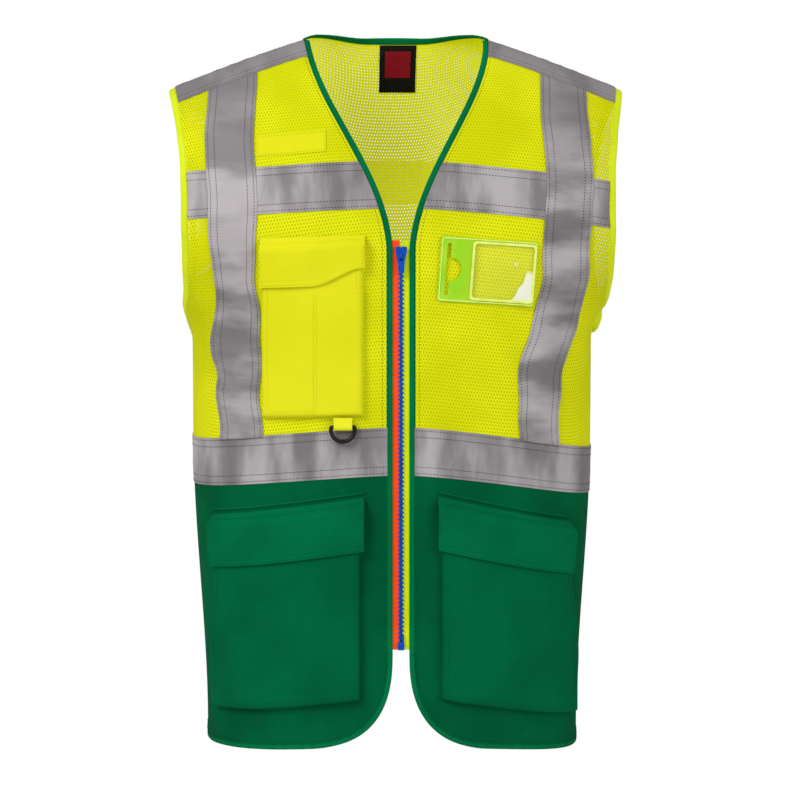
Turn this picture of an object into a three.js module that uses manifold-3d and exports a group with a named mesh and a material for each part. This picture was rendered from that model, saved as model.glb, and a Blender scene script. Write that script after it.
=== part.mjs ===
// A high visibility work vest on its wearer: mesh body, reflective tape, green skirt, zip and pockets.
// Millimetres, +Z up. The wearer faces -Y and has the left arm on +X. The origin lies midway between
// the shoulders that the vest hangs from.
import * as THREE from "three";
import { mergeVertices } from "three/addons/utils/BufferGeometryUtils.js";
import Module from "manifold-3d";

const wasm = await Module();
wasm.setup();

// Which way each half of the vest lies from its middle.
const FRONT = -1;
const BACK = 1;
const RIGHT = -1;
const LEFT = 1;
const SIDES = { right: RIGHT, left: LEFT };

// Trunk: the outer face of the fabric, seen from above, is a flattened oval.
const DEPTH = 118;
const OVAL_POWER = 2.6;
const HEM_HALF_WIDTH = 200;
const CHEST_HALF_WIDTH = 213;
const SHOULDER_HALF_WIDTH = 300;
const SIDE_LEAN = 4.5; // the skirt hangs this much further out on the wearer's right
const SEAM_GAP = 0.4; // half of the gap between the front and back panels

// Shoulders and neck.
const NECK_X = 97;
const NECK_Z = 25;
const TIP_X = 234;
const TIP_DROP = 49;
const SHOULDER_BOW = 1.1;
const SHOULDER_DROP = 170; // height over which the shoulder rounds into the chest
const SHOULDER_POWER = 1.8;
const NAPE_DEPTH = 60; // how far behind the shoulder line the back neckline lies

// Openings and levels, measured down from the shoulders.
const ARMPIT_Z = -291;
const ARM_X = 218;
const ARM_CURVE_DROP = 110;
const FRONT_EDGE_X = 14;
const ZIP_TOP_Z = -188;
const ZIP_BOTTOM_Z = -607;
const CHEST_TAPE_Z = -101;
const WAIST_TAPE_Z = -374;
const HEM_Z = -708;
const FRONT_CORNER_RISE = 95;
const FRONT_CORNER_X = 94;
const FRONT_CORNER_POWER = 2.4;
const BACK_HEM_Z = -662;

// Cloth, tape and gaps between layers.
const TAPE = 50;
const GAP = 0.4;
const LAYER_GAP = 0.7; // between a flat layer and the curved one below it
const PANEL = [0, 1];
const UNDER_TAPE = [1.7, 2.3];
const OVER_TAPE = [2.9, 3.5];
const BINDING = [-0.6, 1.6];
const ARM_BINDING = [-0.1, 1.5];
const BINDING_WIDTH = 6;
const ARM_GAP = 1.6; // between a panel and its armhole binding
const TURN_POWER = 1.6; // rows crowd towards the shoulder, where the cloth turns over

const COLOURS = {
  mesh: 0xd8de10,
  yellow: 0xe8e82a,
  green: 0x006b42,
  tape: 0x9a9496,
  lime: 0xd2e010,
  orange: 0xff5a20,
  blue: 0x0a4cb4,
  black: 0x17171a,
  badge: 0x9cd815,
  clear: 0xe6e8b0,
  red: 0x8c1028,
};

const vest = new THREE.Group();

const mix = (a, b, t) => a + (b - a) * t;
const clamp = (t) => Math.min(1, Math.max(0, t));
const smooth = (t) => clamp(t) ** 2 * (3 - 2 * clamp(t));

// ---- The surface that every layer of cloth follows -------------------------------------------

function halfWidth(side, z) {
  const skirt = mix(HEM_HALF_WIDTH, CHEST_HALF_WIDTH, smooth((z + 700) / 300));
  const chest = smooth((z - ARMPIT_Z) / 150);
  return mix(skirt, SHOULDER_HALF_WIDTH, chest) - side * SIDE_LEAN * (1 - chest);
}

function shoulderLine(x) {
  const out = Math.max(0, (Math.abs(x) - NECK_X) / (TIP_X - NECK_X));
  return NECK_Z - TIP_DROP * out ** SHOULDER_BOW;
}

function skinY(face, x, z) {
  const reach = Math.min(1, Math.abs(x) / halfWidth(x < 0 ? RIGHT : LEFT, z));
  const full = DEPTH * (1 - reach ** OVAL_POWER) ** (1 / OVAL_POWER);
  const drop = clamp((shoulderLine(x) - z) / SHOULDER_DROP);
  const rounded = (1 - (1 - drop) ** SHOULDER_POWER) ** (1 / SHOULDER_POWER);
  const nape = face === BACK ? Math.sqrt(Math.max(0, 1 - (x / NECK_X) ** 2)) : 0;
  const start = NAPE_DEPTH * nape;
  const cap = mix(rounded, 1 - (1 - drop) ** 2, nape);
  return face * (start + (full - start) * cap + SEAM_GAP);
}

// The way out of the surface, from steps taken inwards so that it holds at every edge.
function skinNormal(face, x, z) {
  const step = 0.5;
  const inward = x < 0 ? step : -step;
  const y = skinY(face, x, z);
  const slopeX = (skinY(face, x + inward, z) - y) / inward;
  const slopeZ = (y - skinY(face, x, z - step)) / step;
  return new THREE.Vector3(-slopeX, 1, -slopeZ).multiplyScalar(face).normalize();
}

function onSkin([face, x, z], lift) {
  return new THREE.Vector3(x, skinY(face, x, z), z).addScaledVector(skinNormal(face, x, z), lift);
}

// ---- Solids ----------------------------------------------------------------------------------

function geometryOf(points, triangles) {
  const geometry = new THREE.BufferGeometry().setFromPoints(points);
  geometry.setIndex(triangles);
  const solid = toSolid(geometry);
  return solid.volume() < 0 ? geometryOf(points, triangles.toReversed()) : geometry;
}

function toSolid(geometry) {
  const bare = geometry.clone();
  bare.deleteAttribute("normal");
  bare.deleteAttribute("uv");
  const merged = mergeVertices(bare, 1e-4);
  const vertProperties = merged.attributes.position.array;
  const triVerts = new Uint32Array(merged.index.array);
  return new wasm.Manifold(new wasm.Mesh({ numProp: 3, vertProperties, triVerts }));
}

function fromSolid(solid) {
  const { vertProperties, triVerts } = solid.getMesh();
  const geometry = new THREE.BufferGeometry();
  geometry.setAttribute("position", new THREE.BufferAttribute(vertProperties, 3));
  geometry.setIndex(new THREE.BufferAttribute(triVerts, 1));
  return geometry;
}

function add(name, colour, geometry, { metalness = 0, roughness = 0.85, opacity = 1 } = {}) {
  geometry.computeVertexNormals();
  const transparent = opacity < 1;
  const look = { color: COLOURS[colour], metalness, roughness, opacity, transparent };
  const mesh = new THREE.Mesh(geometry, new THREE.MeshStandardMaterial(look));
  mesh.name = name;
  vest.add(mesh);
  return mesh;
}

// A layer of cloth between two lifts above the surface. place(u, v) gives [face, x, z], and a lift
// is a number or a function of u and v.
function sheet(place, columns, rows, [inner, outer]) {
  const points = [];
  for (const lift of [outer, inner]) {
    for (let j = 0; j <= rows; j++) {
      for (let i = 0; i <= columns; i++) {
        const [u, v] = [i / columns, j / rows];
        points.push(onSkin(place(u, v), typeof lift === "function" ? lift(u, v) : lift));
      }
    }
  }
  const count = (columns + 1) * (rows + 1);
  const at = (i, j) => j * (columns + 1) + i;
  const triangles = [];
  const quad = (a, b, c, d) => triangles.push(a, b, c, a, c, d);
  for (let j = 0; j < rows; j++) {
    for (let i = 0; i < columns; i++) {
      const [a, b, c, d] = [at(i, j), at(i + 1, j), at(i + 1, j + 1), at(i, j + 1)];
      quad(a, b, c, d);
      quad(count + d, count + c, count + b, count + a);
    }
  }
  const rim = [];
  for (let i = 0; i < columns; i++) rim.push(at(i, 0));
  for (let j = 0; j < rows; j++) rim.push(at(columns, j));
  for (let i = columns; i > 0; i--) rim.push(at(i, rows));
  for (let j = rows; j > 0; j--) rim.push(at(0, j));
  rim.forEach((a, k) => {
    const b = rim[(k + 1) % rim.length];
    quad(b, a, count + a, count + b);
  });
  return geometryOf(points, triangles);
}

// A strip of a rectangular section that follows an edge, from one distance beyond it to another.
function ribbon(edge, [near, far], [inner, outer], closed = false) {
  const points = [];
  edge.forEach((place, k) => {
    const last = edge.length - 1;
    const before = edge[closed ? (k + last) % edge.length : Math.max(0, k - 1)];
    const after = edge[closed ? (k + 1) % edge.length : Math.min(last, k + 1)];
    const along = onSkin(after, 0).sub(onSkin(before, 0));
    const normal = skinNormal(...place);
    const across = normal.clone().cross(along).normalize();
    for (const [reach, lift] of [[near, outer], [far, outer], [far, inner], [near, inner]]) {
      const point = onSkin(place, 0).addScaledVector(across, reach);
      points.push(point.addScaledVector(normal, lift));
    }
  });
  const triangles = [];
  const spans = closed ? edge.length : edge.length - 1;
  for (let k = 0; k < spans; k++) {
    const [a, b] = [4 * k, 4 * ((k + 1) % edge.length)];
    for (let c = 0; c < 4; c++) {
      const d = (c + 1) % 4;
      triangles.push(a + c, a + d, b + d, a + c, b + d, b + c);
    }
  }
  if (!closed) {
    const end = 4 * (edge.length - 1);
    triangles.push(0, 2, 1, 0, 3, 2);
    triangles.push(end, end + 1, end + 2, end, end + 2, end + 3);
  }
  return geometryOf(points, triangles);
}

// A box between two opposite corners.
function block([x0, y0, z0], [x1, y1, z1]) {
  const box = new THREE.BoxGeometry(x1 - x0, y1 - y0, z1 - z0);
  return box.translate((x0 + x1) / 2, (y0 + y1) / 2, (z0 + z1) / 2);
}

// ---- Lines drawn on the surface --------------------------------------------------------------

function sag(x, most) {
  const side = x < 0 ? 0.72 : 1.28;
  return most * side * (Math.abs(x) / CHEST_HALF_WIDTH) ** 1.5;
}

const chestTapeTop = (x) => CHEST_TAPE_Z - sag(x, 16);
const waistTapeTop = (x) => WAIST_TAPE_Z - sag(x, 25);
const waistSeam = (x) => waistTapeTop(x) - TAPE + 4;

function frontHem(x) {
  const corner = clamp((FRONT_CORNER_X - Math.abs(x)) / (FRONT_CORNER_X - FRONT_EDGE_X));
  const round = (1 - corner ** FRONT_CORNER_POWER) ** (1 / FRONT_CORNER_POWER);
  return HEM_Z + FRONT_CORNER_RISE * (1 - round) - sag(x, 17);
}

function backHem(x) {
  const side = x < 0 ? RIGHT : LEFT;
  const out = clamp(Math.abs(x) / halfWidth(side, HEM_Z));
  return mix(BACK_HEM_Z, frontHem(side * halfWidth(side, HEM_Z)), out ** 2);
}

// The V neck's edge on one front, straight down beside the zip below it.
function neckEdge(z) {
  const down = clamp((NECK_Z - z) / (NECK_Z - ZIP_TOP_Z)) ** 0.95;
  const curve = 0.75 * Math.cos((down * Math.PI) / 2) ** 2 + 0.25 * (1 - down);
  return mix(FRONT_EDGE_X, NECK_X, curve);
}

function armEdge(z) {
  const tip = NECK_Z - TIP_DROP;
  return mix(ARM_X, TIP_X, (1 - clamp((tip - z) / ARM_CURVE_DROP)) ** 2);
}

// How far out a panel reaches at a height: to its armhole, or to the side seam below the armpit.
function outerEdge(side, z) {
  return z > ARMPIT_Z ? mix(armEdge(z), halfWidth(side, z), smooth((-235 - z) / 56)) : halfWidth(side, z);
}

// ---- Body panels -----------------------------------------------------------------------------

const ARM_ROWS = 14;
const MESH_ROWS = 18;
const SKIRT_ROWS = 6;

// Rows crowd a little towards both ends of the armhole, where its edge turns.
const armShare = (t) => mix(t, smooth(t), 0.65);

// Height of a row of the mesh panel: shoulder to armpit, then on down to the waist seam.
function meshRow(x, v) {
  const row = v * MESH_ROWS;
  if (row <= ARM_ROWS) return mix(shoulderLine(x), ARMPIT_Z, armShare(row / ARM_ROWS));
  return mix(ARMPIT_Z, waistSeam(x) + GAP, (row - ARM_ROWS) / (MESH_ROWS - ARM_ROWS));
}

// Columns crowd towards the side, where the cloth turns round the body.
const outwards = (from, to, u) => mix(from, to, Math.sin((u * Math.PI) / 2));

// The same, bound to the width at the row's own height, which itself depends on the column.
function settle(side, height, widthAt) {
  let x = side * FRONT_EDGE_X;
  for (let turn = 0; turn < 12; turn++) x = side * widthAt(height(x));
  return [x, height(x)];
}

function frontMesh(side) {
  return (u, v) => {
    const height = (x) => meshRow(x, v);
    const width = (z) => outwards(neckEdge(z), outerEdge(side, z), u);
    return [FRONT, ...settle(side, height, width)];
  };
}

// Across the back, with a column on each neck corner.
function backWidth(z, u) {
  const [side, out] = [u < 0.5 ? RIGHT : LEFT, Math.abs(2 * u - 1)];
  const neck = 0.4;
  if (out <= neck) return (NECK_X * out) / neck;
  return outwards(NECK_X, outerEdge(side, z), (out - neck) / (1 - neck));
}

function backMesh(u, v) {
  const side = u < 0.5 ? RIGHT : LEFT;
  return [BACK, ...settle(side, (x) => meshRow(x, v), (z) => backWidth(z, u))];
}

function frontSkirt(side) {
  return (u, v) => {
    const height = (x) => mix(waistSeam(x), frontHem(x), v);
    const width = (z) => outwards(FRONT_EDGE_X, halfWidth(side, z), u ** 1.4);
    return [FRONT, ...settle(side, height, width)];
  };
}

function backSkirt(u, v) {
  const side = u < 0.5 ? RIGHT : LEFT;
  const height = (x) => mix(waistSeam(x), backHem(x), v);
  return [BACK, ...settle(side, height, (z) => outwards(0, halfWidth(side, z), Math.abs(2 * u - 1)))];
}

function addPanels() {
  for (const [name, side] of Object.entries(SIDES)) {
    add(`${name}_front_mesh_panel`, "mesh", sheet(frontMesh(side), 10, MESH_ROWS, PANEL));
    add(`${name}_front_skirt_panel`, "green", sheet(frontSkirt(side), 13, SKIRT_ROWS, PANEL));
  }
  add("back_mesh_panel", "mesh", sheet(backMesh, 20, MESH_ROWS, PANEL));
  add("back_skirt_panel", "green", sheet(backSkirt, 20, SKIRT_ROWS, PANEL));
}

// ---- Edge bindings ---------------------------------------------------------------------------

const steps = (count) => Array.from({ length: count + 1 }, (_, k) => k / count);

function addBindings() {
  const rim = [LAYER_GAP, BINDING_WIDTH];
  const reversed = [-BINDING_WIDTH, -LAYER_GAP];
  for (const [name, side] of Object.entries(SIDES)) {
    // The front binding starts just below the shoulder line, clear of the back one.
    const neck = steps(MESH_ROWS).map((v) => frontMesh(side)(0, Math.max(v, 0.006)));
    const skirt = steps(SKIRT_ROWS).map((v) => frontSkirt(side)(0, v));
    const edge = [...neck.slice(0, -1), ...skirt];
    const toOpening = side === RIGHT ? rim : reversed;
    add(`${name}_front_binding`, "green", ribbon(edge, toOpening, BINDING));
    const armhole = steps(MESH_ROWS).slice(0, ARM_ROWS + 1);
    const front = armhole.map((v) => frontMesh(side)(1, v));
    const back = armhole.map((v) => backMesh(side === RIGHT ? 0 : 1, v)).slice(1, -1).reverse();
    const outside = side === RIGHT ? [-BINDING_WIDTH, -ARM_GAP] : [ARM_GAP, BINDING_WIDTH];
    add(`${name}_armhole_binding`, "lime", ribbon([...front, ...back], outside, ARM_BINDING, true));
  }
  const nape = steps(8).map((t) => backMesh(mix(0.3, 0.7, t), 0));
  add("back_neck_binding", "green", ribbon(nape, reversed, BINDING));
}

// ---- Reflective tape -------------------------------------------------------------------------

const BRACE_X = 148; // inner edge of each upright tape
const BRACE_LEAN = 26; // how far the tape on the wearer's left has swung inwards at the waist
const SHOULDER_TAPE_DROP = 19;

function brace(side) {
  return (u, v) => {
    const top = (x) => shoulderLine(x) - SHOULDER_TAPE_DROP - 1;
    const swing = (z) => (side === LEFT ? BRACE_LEAN : 5) * smooth((-190 - z) / 150);
    const height = (x) => mix(top(x), waistTapeTop(x) + GAP, v);
    const width = (z) => BRACE_X + u * mix(TAPE, TAPE - 6, smooth((-150 - z) / 150)) - swing(z);
    return [FRONT, ...settle(side, height, width)];
  };
}

function backBrace(side) {
  return (u, v) => {
    const height = (x) => mix(shoulderLine(x) - 5, waistTapeTop(x) + GAP, v ** 1.2);
    return [BACK, ...settle(side, height, () => BRACE_X + u * TAPE - 8 * v)];
  };
}

function addTapes() {
  for (const [name, side] of Object.entries(SIDES)) {
    const chest = (u, v) => {
      const height = (x) => chestTapeTop(x) - v * (TAPE - 2);
      return [FRONT, ...settle(side, height, (z) => mix(neckEdge(z) + GAP, outerEdge(side, z) - GAP, u))];
    };
    add(`${name}_chest_tape`, "tape", sheet(chest, 14, 2, UNDER_TAPE));
    const waist = (u, v) => {
      const height = (x) => waistTapeTop(x) - v * TAPE;
      return [FRONT, ...settle(side, height, (z) => outwards(FRONT_EDGE_X, halfWidth(side, z), u))];
    };
    add(`${name}_waist_tape`, "tape", sheet(waist, 16, 2, UNDER_TAPE));
    const shoulder = (u, v) => {
      const height = (x) => shoulderLine(x) - 0.2 - v ** TURN_POWER * SHOULDER_TAPE_DROP;
      return [FRONT, ...settle(side, height, (z) => mix(neckEdge(z) + GAP, armEdge(z) - GAP, u))];
    };
    add(`${name}_shoulder_tape`, "tape", sheet(shoulder, 8, 5, UNDER_TAPE));
    add(`${name}_front_brace_tape`, "tape", sheet(brace(side), 4, 16, OVER_TAPE));
    add(`${name}_back_brace_tape`, "tape", sheet(backBrace(side), 6, 20, OVER_TAPE));
  }
  const across = (u) => (u < 0.5 ? RIGHT : LEFT);
  const out = (u) => Math.abs(2 * u - 1);
  const backChest = (u, v) => {
    const height = (x) => chestTapeTop(x) - v * (TAPE - 2);
    const width = (z) => (outerEdge(across(u), z) - GAP) * out(u);
    return [BACK, ...settle(across(u), height, width)];
  };
  add("back_chest_tape", "tape", sheet(backChest, 28, 2, UNDER_TAPE));
  const backWaist = (u, v) => {
    const height = (x) => waistTapeTop(x) - v * TAPE;
    return [BACK, ...settle(across(u), height, (z) => outwards(0, halfWidth(across(u), z), out(u)))];
  };
  add("back_waist_tape", "tape", sheet(backWaist, 30, 2, UNDER_TAPE));
}

// ---- Zip -------------------------------------------------------------------------------------

const ZIP_Y = -DEPTH - SEAM_GAP;
const CHAIN = [0.8, 2.9]; // half of the chain, from the slider's slot to the tape
const CHAIN_THICK = 1.5;
const ZIP_TAPE_WIDTH = 14;
const STOP_HEIGHT = 4;
const RETAINER_HEIGHT = 8;
const PIN_HEIGHT = 7;

// A block between two distances from the middle line on one side, and two distances out of the vest.
function zipBlock(side, [near, far], [back, front], [low, high]) {
  const [x0, x1] = [side * near, side * far].sort((a, b) => a - b);
  return block([x0, ZIP_Y - front, low], [x1, ZIP_Y - back, high]);
}

function addZip() {
  const tapeX = [CHAIN[1] + GAP, CHAIN[1] + GAP + ZIP_TAPE_WIDTH];
  const chainThick = [-CHAIN_THICK, CHAIN_THICK];
  const chainTop = ZIP_TOP_Z - STOP_HEIGHT - GAP;
  const chainLow = ZIP_BOTTOM_Z + RETAINER_HEIGHT + PIN_HEIGHT + 2 * GAP;
  const tapeColours = { right: "orange", left: "lime" };
  for (const [name, side] of Object.entries(SIDES)) {
    const tape = zipBlock(side, tapeX, [-2, -1.1], [ZIP_BOTTOM_Z, ZIP_TOP_Z + 6]);
    add(`${name}_zip_tape`, tapeColours[name], tape);
    const chain = zipBlock(side, CHAIN, chainThick, [chainLow, chainTop]);
    add(`${name}_zip_chain`, "blue", chain, { roughness: 0.4 });
    const stop = zipBlock(side, CHAIN, chainThick, [chainTop + GAP, ZIP_TOP_Z]);
    add(`${name}_zip_top_stop`, "blue", stop, { roughness: 0.4 });
  }
  const pinLow = ZIP_BOTTOM_Z + RETAINER_HEIGHT + GAP;
  const pin = zipBlock(LEFT, CHAIN, chainThick, [pinLow, pinLow + PIN_HEIGHT]);
  add("zip_insertion_pin", "blue", pin, { roughness: 0.4 });
  const retainerZ = [ZIP_BOTTOM_Z, ZIP_BOTTOM_Z + RETAINER_HEIGHT];
  const retainer = zipBlock(RIGHT, [-3.4, 3.4], [-1, 3], retainerZ);
  add("zip_retainer_box", "blue", retainer, { roughness: 0.4 });
  addSlider(chainTop);
}

const SLIDER_HALF_WIDTH = 6;
const SLIDER_LENGTH = 14;
const PLATE = [2, 3.2];
const CROWN_X = 1.2;
const CROWN_OUT = 6.4;

// Two plates joined by a web that runs in the chain's slot, with a crown that holds the pull tab.
function addSlider(top) {
  const low = top - SLIDER_LENGTH;
  const front = zipBlock(LEFT, [-SLIDER_HALF_WIDTH, SLIDER_HALF_WIDTH], PLATE, [low, top]);
  const behind = [-PLATE[1], -PLATE[0]];
  const back = zipBlock(LEFT, [-SLIDER_HALF_WIDTH, SLIDER_HALF_WIDTH], behind, [low, top]);
  const web = zipBlock(LEFT, [-0.4, 0.4], [-2.5, 2.5], [top - 6, top - 0.5]);
  const crownLow = top - 8;
  const crown = zipBlock(LEFT, [-CROWN_X, CROWN_X], [3, CROWN_OUT], [crownLow, crownLow + 5]);
  const eye = zipBlock(LEFT, [-CROWN_X - 1, CROWN_X + 1], [3.5, 5.7], [crownLow + 1, crownLow + 4]);
  const hook = toSolid(crown).subtract(toSolid(eye));
  const body = toSolid(front).add(toSolid(back)).add(toSolid(web)).add(hook);
  add("zip_slider_body", "blue", fromSolid(body), { roughness: 0.35, metalness: 0.3 });
  addPullTab(crownLow + 2.5);
}

// A flat tab with a window for the crown; the bar over the window turns in the crown's eye.
function addPullTab(barZ) {
  const outline = new THREE.Shape();
  outline.moveTo(-3.4, 0.6);
  outline.lineTo(-3.8, -16);
  outline.absarc(0, -16, 3.8, Math.PI, 2 * Math.PI);
  outline.lineTo(3.4, 0.6);
  const window = new THREE.Path();
  window.moveTo(-2, -0.6);
  window.lineTo(2, -0.6);
  window.lineTo(2, -6);
  window.lineTo(-2, -6);
  outline.holes.push(window);
  const options = { depth: 1.2, bevelEnabled: false, curveSegments: 8 };
  const tab = new THREE.ExtrudeGeometry(outline, options).translate(0, 0, -0.6);
  tab.rotateX(Math.PI / 2).translate(0, ZIP_Y - 4.6, barZ);
  add("zip_pull_tab", "blue", tab, { roughness: 0.35, metalness: 0.3 });
}

// ---- Pockets ---------------------------------------------------------------------------------

const WALL = 0.9;

// A patch of the front between two sides, with its top and bottom as functions of x.
function patch(side, [near, far], top, bottom) {
  return (u, v) => {
    const height = (x) => mix(top(x), bottom(x), v);
    const reach = (z) => far(z);
    return [FRONT, ...settle(side, height, (z) => mix(near, reach(z), u))];
  };
}

// A pouch sewn on by its two sides and its bottom: its back is the vest's own panel.
function pouch(place, columns, rows, lift) {
  const solid = toSolid(sheet(place, columns, rows, [PANEL[1] + LAYER_GAP, lift]));
  const room = (u, v) => place(mix(0.015, 0.985, u), mix(-0.02, 0.99, v));
  const hollow = toSolid(sheet(room, columns, rows, [PANEL[1] - 2, lift - WALL]));
  return fromSolid(solid.subtract(hollow));
}

// A flap that leaves the vest at its top edge and lies over the pouch below.
function flapLifts(lift, height) {
  const rise = (v) => mix(1.6, lift, smooth((v * height) / 11));
  return [(u, v) => rise(v), (u, v) => rise(v) + 1];
}

function addClosure(name, place, span, lift) {
  const strip = (u, v) => place(mix(span[0], span[1], u), mix(span[2], span[3], v));
  add(`${name}_loop_patch`, "black", sheet(strip, 8, 1, [lift + 0.5, lift + 1.3]));
  add(`${name}_hook_patch`, "black", sheet(strip, 8, 1, [lift + 1.7, lift + 2.5]));
}

const CHEST_POCKET = { near: 38, far: 142, top: -176, bottom: -362, lift: 9.5, mouth: 11 };
const WELT = 3.2; // height of the welt above each skirt flap, which clears the flap as it lifts
const SKIRT_POCKET = { near: 42, top: -441, bottom: -660, lift: 11, mouth: 17, flap: 55 };

function addChestPocket() {
  const { near, far, top, bottom, lift, mouth } = CHEST_POCKET;
  const line = (z) => (x) => z - sag(x, 9);
  const span = [near, () => far];
  const body = patch(RIGHT, span, line(top - mouth), line(bottom));
  add("chest_pocket_pouch", "yellow", pouch(body, 8, 8, lift));
  const flapBottom = (x) => top - 33 - 18 * smooth((Math.abs(x) - near) / 54);
  const flap = patch(RIGHT, [near - 1, () => far + 1], line(top), flapBottom);
  add("chest_pocket_flap", "yellow", sheet(flap, 8, 6, flapLifts(lift + 2.9, 50)));
  addClosure("chest_pocket", body, [0.2, 0.8, 0.05, 0.12], lift);
  const phone = patch(RIGHT, [near + 1, () => 90], () => -234, () => bottom + 4);
  add("chest_phone_patch", "yellow", sheet(phone, 4, 8, [lift + 0.5, lift + 1.3]));
}

function skirtLine(side, z) {
  const slope = side === RIGHT ? 0.15 : 0.235;
  return (x) => z - slope * (Math.abs(x) - SKIRT_POCKET.near);
}

function addSkirtPockets() {
  const { near, top, bottom, lift, mouth, flap } = SKIRT_POCKET;
  for (const [name, side] of Object.entries(SIDES)) {
    const edge = (share) => (z) => share * halfWidth(side, z);
    const line = (z) => skirtLine(side, z);
    const low = (x) => bottom - (side === RIGHT ? 0.12 : 0.2) * (Math.abs(x) - near);
    const body = patch(side, [near, edge(0.94)], line(top - 6 - mouth), low);
    add(`${name}_pocket_pouch`, "green", pouch(body, 12, 6, lift));
    const cover = patch(side, [near - 4, edge(0.93)], line(top - 6), line(top - 6 - flap));
    add(`${name}_pocket_flap`, "green", sheet(cover, 12, 6, flapLifts(lift + 2.9, flap)));
    const welt = patch(side, [near - 4, edge(0.93)], line(top), line(top - WELT));
    add(`${name}_pocket_welt`, "green", sheet(welt, 14, 1, [PANEL[1] + LAYER_GAP, 3.4]));
    addClosure(`${name}_pocket`, body, [0.2, 0.8, 0.04, 0.11], lift);
  }
}

// ---- Fittings on the mesh --------------------------------------------------------------------

function addNameStrip() {
  const place = (u, v) => [FRONT, mix(-147, -76, u), mix(-70, -92, v) - 5 * (1 - u)];
  add("name_strip", "yellow", sheet(place, 6, 2, UNDER_TAPE));
}

function addNeckLabel() {
  const place = (u, v) => [BACK, mix(-15, 25, u), mix(24, -26, v)];
  add("neck_label", "black", sheet(place, 3, 6, [-1.5, -0.8]));
  const emblem = (u, v) => [BACK, mix(-9, 19, u), mix(18, -10, v)];
  add("neck_label_emblem", "red", sheet(emblem, 3, 4, [-2.3, -1.8]));
}

const RING = { x: -60, z: -373, out: 124, half: 12.4, drop: 15, stock: 1.85 };

// A closed tube round a flat loop of [x, z] points.
function loopTube(loop, y, radius, sides) {
  const points = [];
  loop.forEach(([x, z], k) => {
    const [before, after] = [loop.at(k - 1), loop[(k + 1) % loop.length]];
    const out = new THREE.Vector3(after[1] - before[1], 0, before[0] - after[0]).normalize();
    for (let c = 0; c < sides; c++) {
      const turn = (c / sides) * 2 * Math.PI;
      const point = new THREE.Vector3(x, y + radius * Math.sin(turn), z);
      points.push(point.addScaledVector(out, radius * Math.cos(turn)));
    }
  });
  const triangles = [];
  loop.forEach((_, k) => {
    const [a, b] = [k * sides, ((k + 1) % loop.length) * sides];
    for (let c = 0; c < sides; c++) {
      const d = (c + 1) % sides;
      triangles.push(a + c, b + c, b + d, a + c, b + d, a + d);
    }
  });
  return geometryOf(points, triangles);
}

function addRing() {
  const { x, z, out, half, drop, stock } = RING;
  const arc = steps(14).map((t) => {
    const turn = t * Math.PI;
    return [x - half * Math.cos(turn), z - drop * Math.sin(turn) ** 0.8];
  });
  const bar = [0.55, 0.2, -0.2, -0.55].map((share) => [x + share * half, z]);
  add("d_ring", "black", loopTube([...arc, ...bar], -out, stock, 8), { roughness: 0.4 });
  const tab = new THREE.Shape();
  const [eye, skin] = [stock + 0.4, stock + 1.3];
  tab.moveTo(skin, 9);
  tab.lineTo(skin, 0);
  tab.absarc(0, 0, skin, 0, Math.PI, true);
  tab.lineTo(-skin + 0.7, 9);
  const hole = new THREE.Path().absarc(0, 0, eye, 0, 2 * Math.PI);
  tab.holes.push(hole);
  const options = { depth: 19, bevelEnabled: false, curveSegments: 8 };
  const webbing = new THREE.ExtrudeGeometry(tab, options).translate(0, 0, -9.5);
  // The profile lies in the Y-Z plane and runs along X.
  webbing.rotateX(Math.PI / 2).rotateZ(Math.PI / 2).translate(x, -out, z);
  add("d_ring_webbing", "yellow", webbing);
}

const BADGE = { x: 89, z: -214, width: 101, height: 67, thick: 1.2, tilt: -4 };

function roundedRectangle(path, x, z, width, height, radius) {
  const [w, h] = [width / 2 - radius, height / 2 - radius];
  path.absarc(x + w, z + h, radius, 0, Math.PI / 2);
  path.absarc(x - w, z + h, radius, Math.PI / 2, Math.PI);
  path.absarc(x - w, z - h, radius, Math.PI, 1.5 * Math.PI);
  path.absarc(x + w, z - h, radius, 1.5 * Math.PI, 2 * Math.PI);
  path.closePath();
  return path;
}

// A flat card holder: a frame with a pull-out slit, and a clear window over its middle.
function addBadgeHolder() {
  const { x, z, width, height, thick, tilt } = BADGE;
  const normal = skinNormal(FRONT, x, z);
  const along = new THREE.Vector3(0, 0, 1).cross(normal).normalize();
  const up = normal.clone().cross(along);
  const group = new THREE.Group();
  group.position.copy(onSkin([FRONT, x, z], PANEL[1] + LAYER_GAP));
  group.quaternion.setFromRotationMatrix(new THREE.Matrix4().makeBasis(along, up, normal));
  group.rotateZ(THREE.MathUtils.degToRad(tilt));
  vest.add(group);
  const outline = roundedRectangle(new THREE.Shape(), 0, 0, width, height, 2.5);
  const slit = roundedRectangle(new THREE.Path(), -width / 2 + 9, 0, 5, height - 12, 2);
  outline.holes.push(slit);
  const options = { bevelEnabled: false, curveSegments: 4 };
  const plate = new THREE.ExtrudeGeometry(outline, { depth: thick, ...options });
  group.add(add("badge_holder_frame", "badge", plate, { roughness: 0.25, opacity: 0.8 }));
  const pane = roundedRectangle(new THREE.Shape(), 16, 0, 64, height - 8, 2);
  const clear = new THREE.ExtrudeGeometry(pane, { depth: 0.8, ...options });
  clear.translate(0, 0, thick + 0.3);
  group.add(add("badge_holder_window", "clear", clear, { roughness: 0.08, opacity: 0.3 }));
}

addPanels();
addBindings();
addTapes();
addZip();
addChestPocket();
addSkirtPockets();
addNameStrip();
addNeckLabel();
addRing();
addBadgeHolder();

export default vest;
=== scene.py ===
import bpy
import numpy as np
from mathutils import Matrix, Vector


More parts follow.
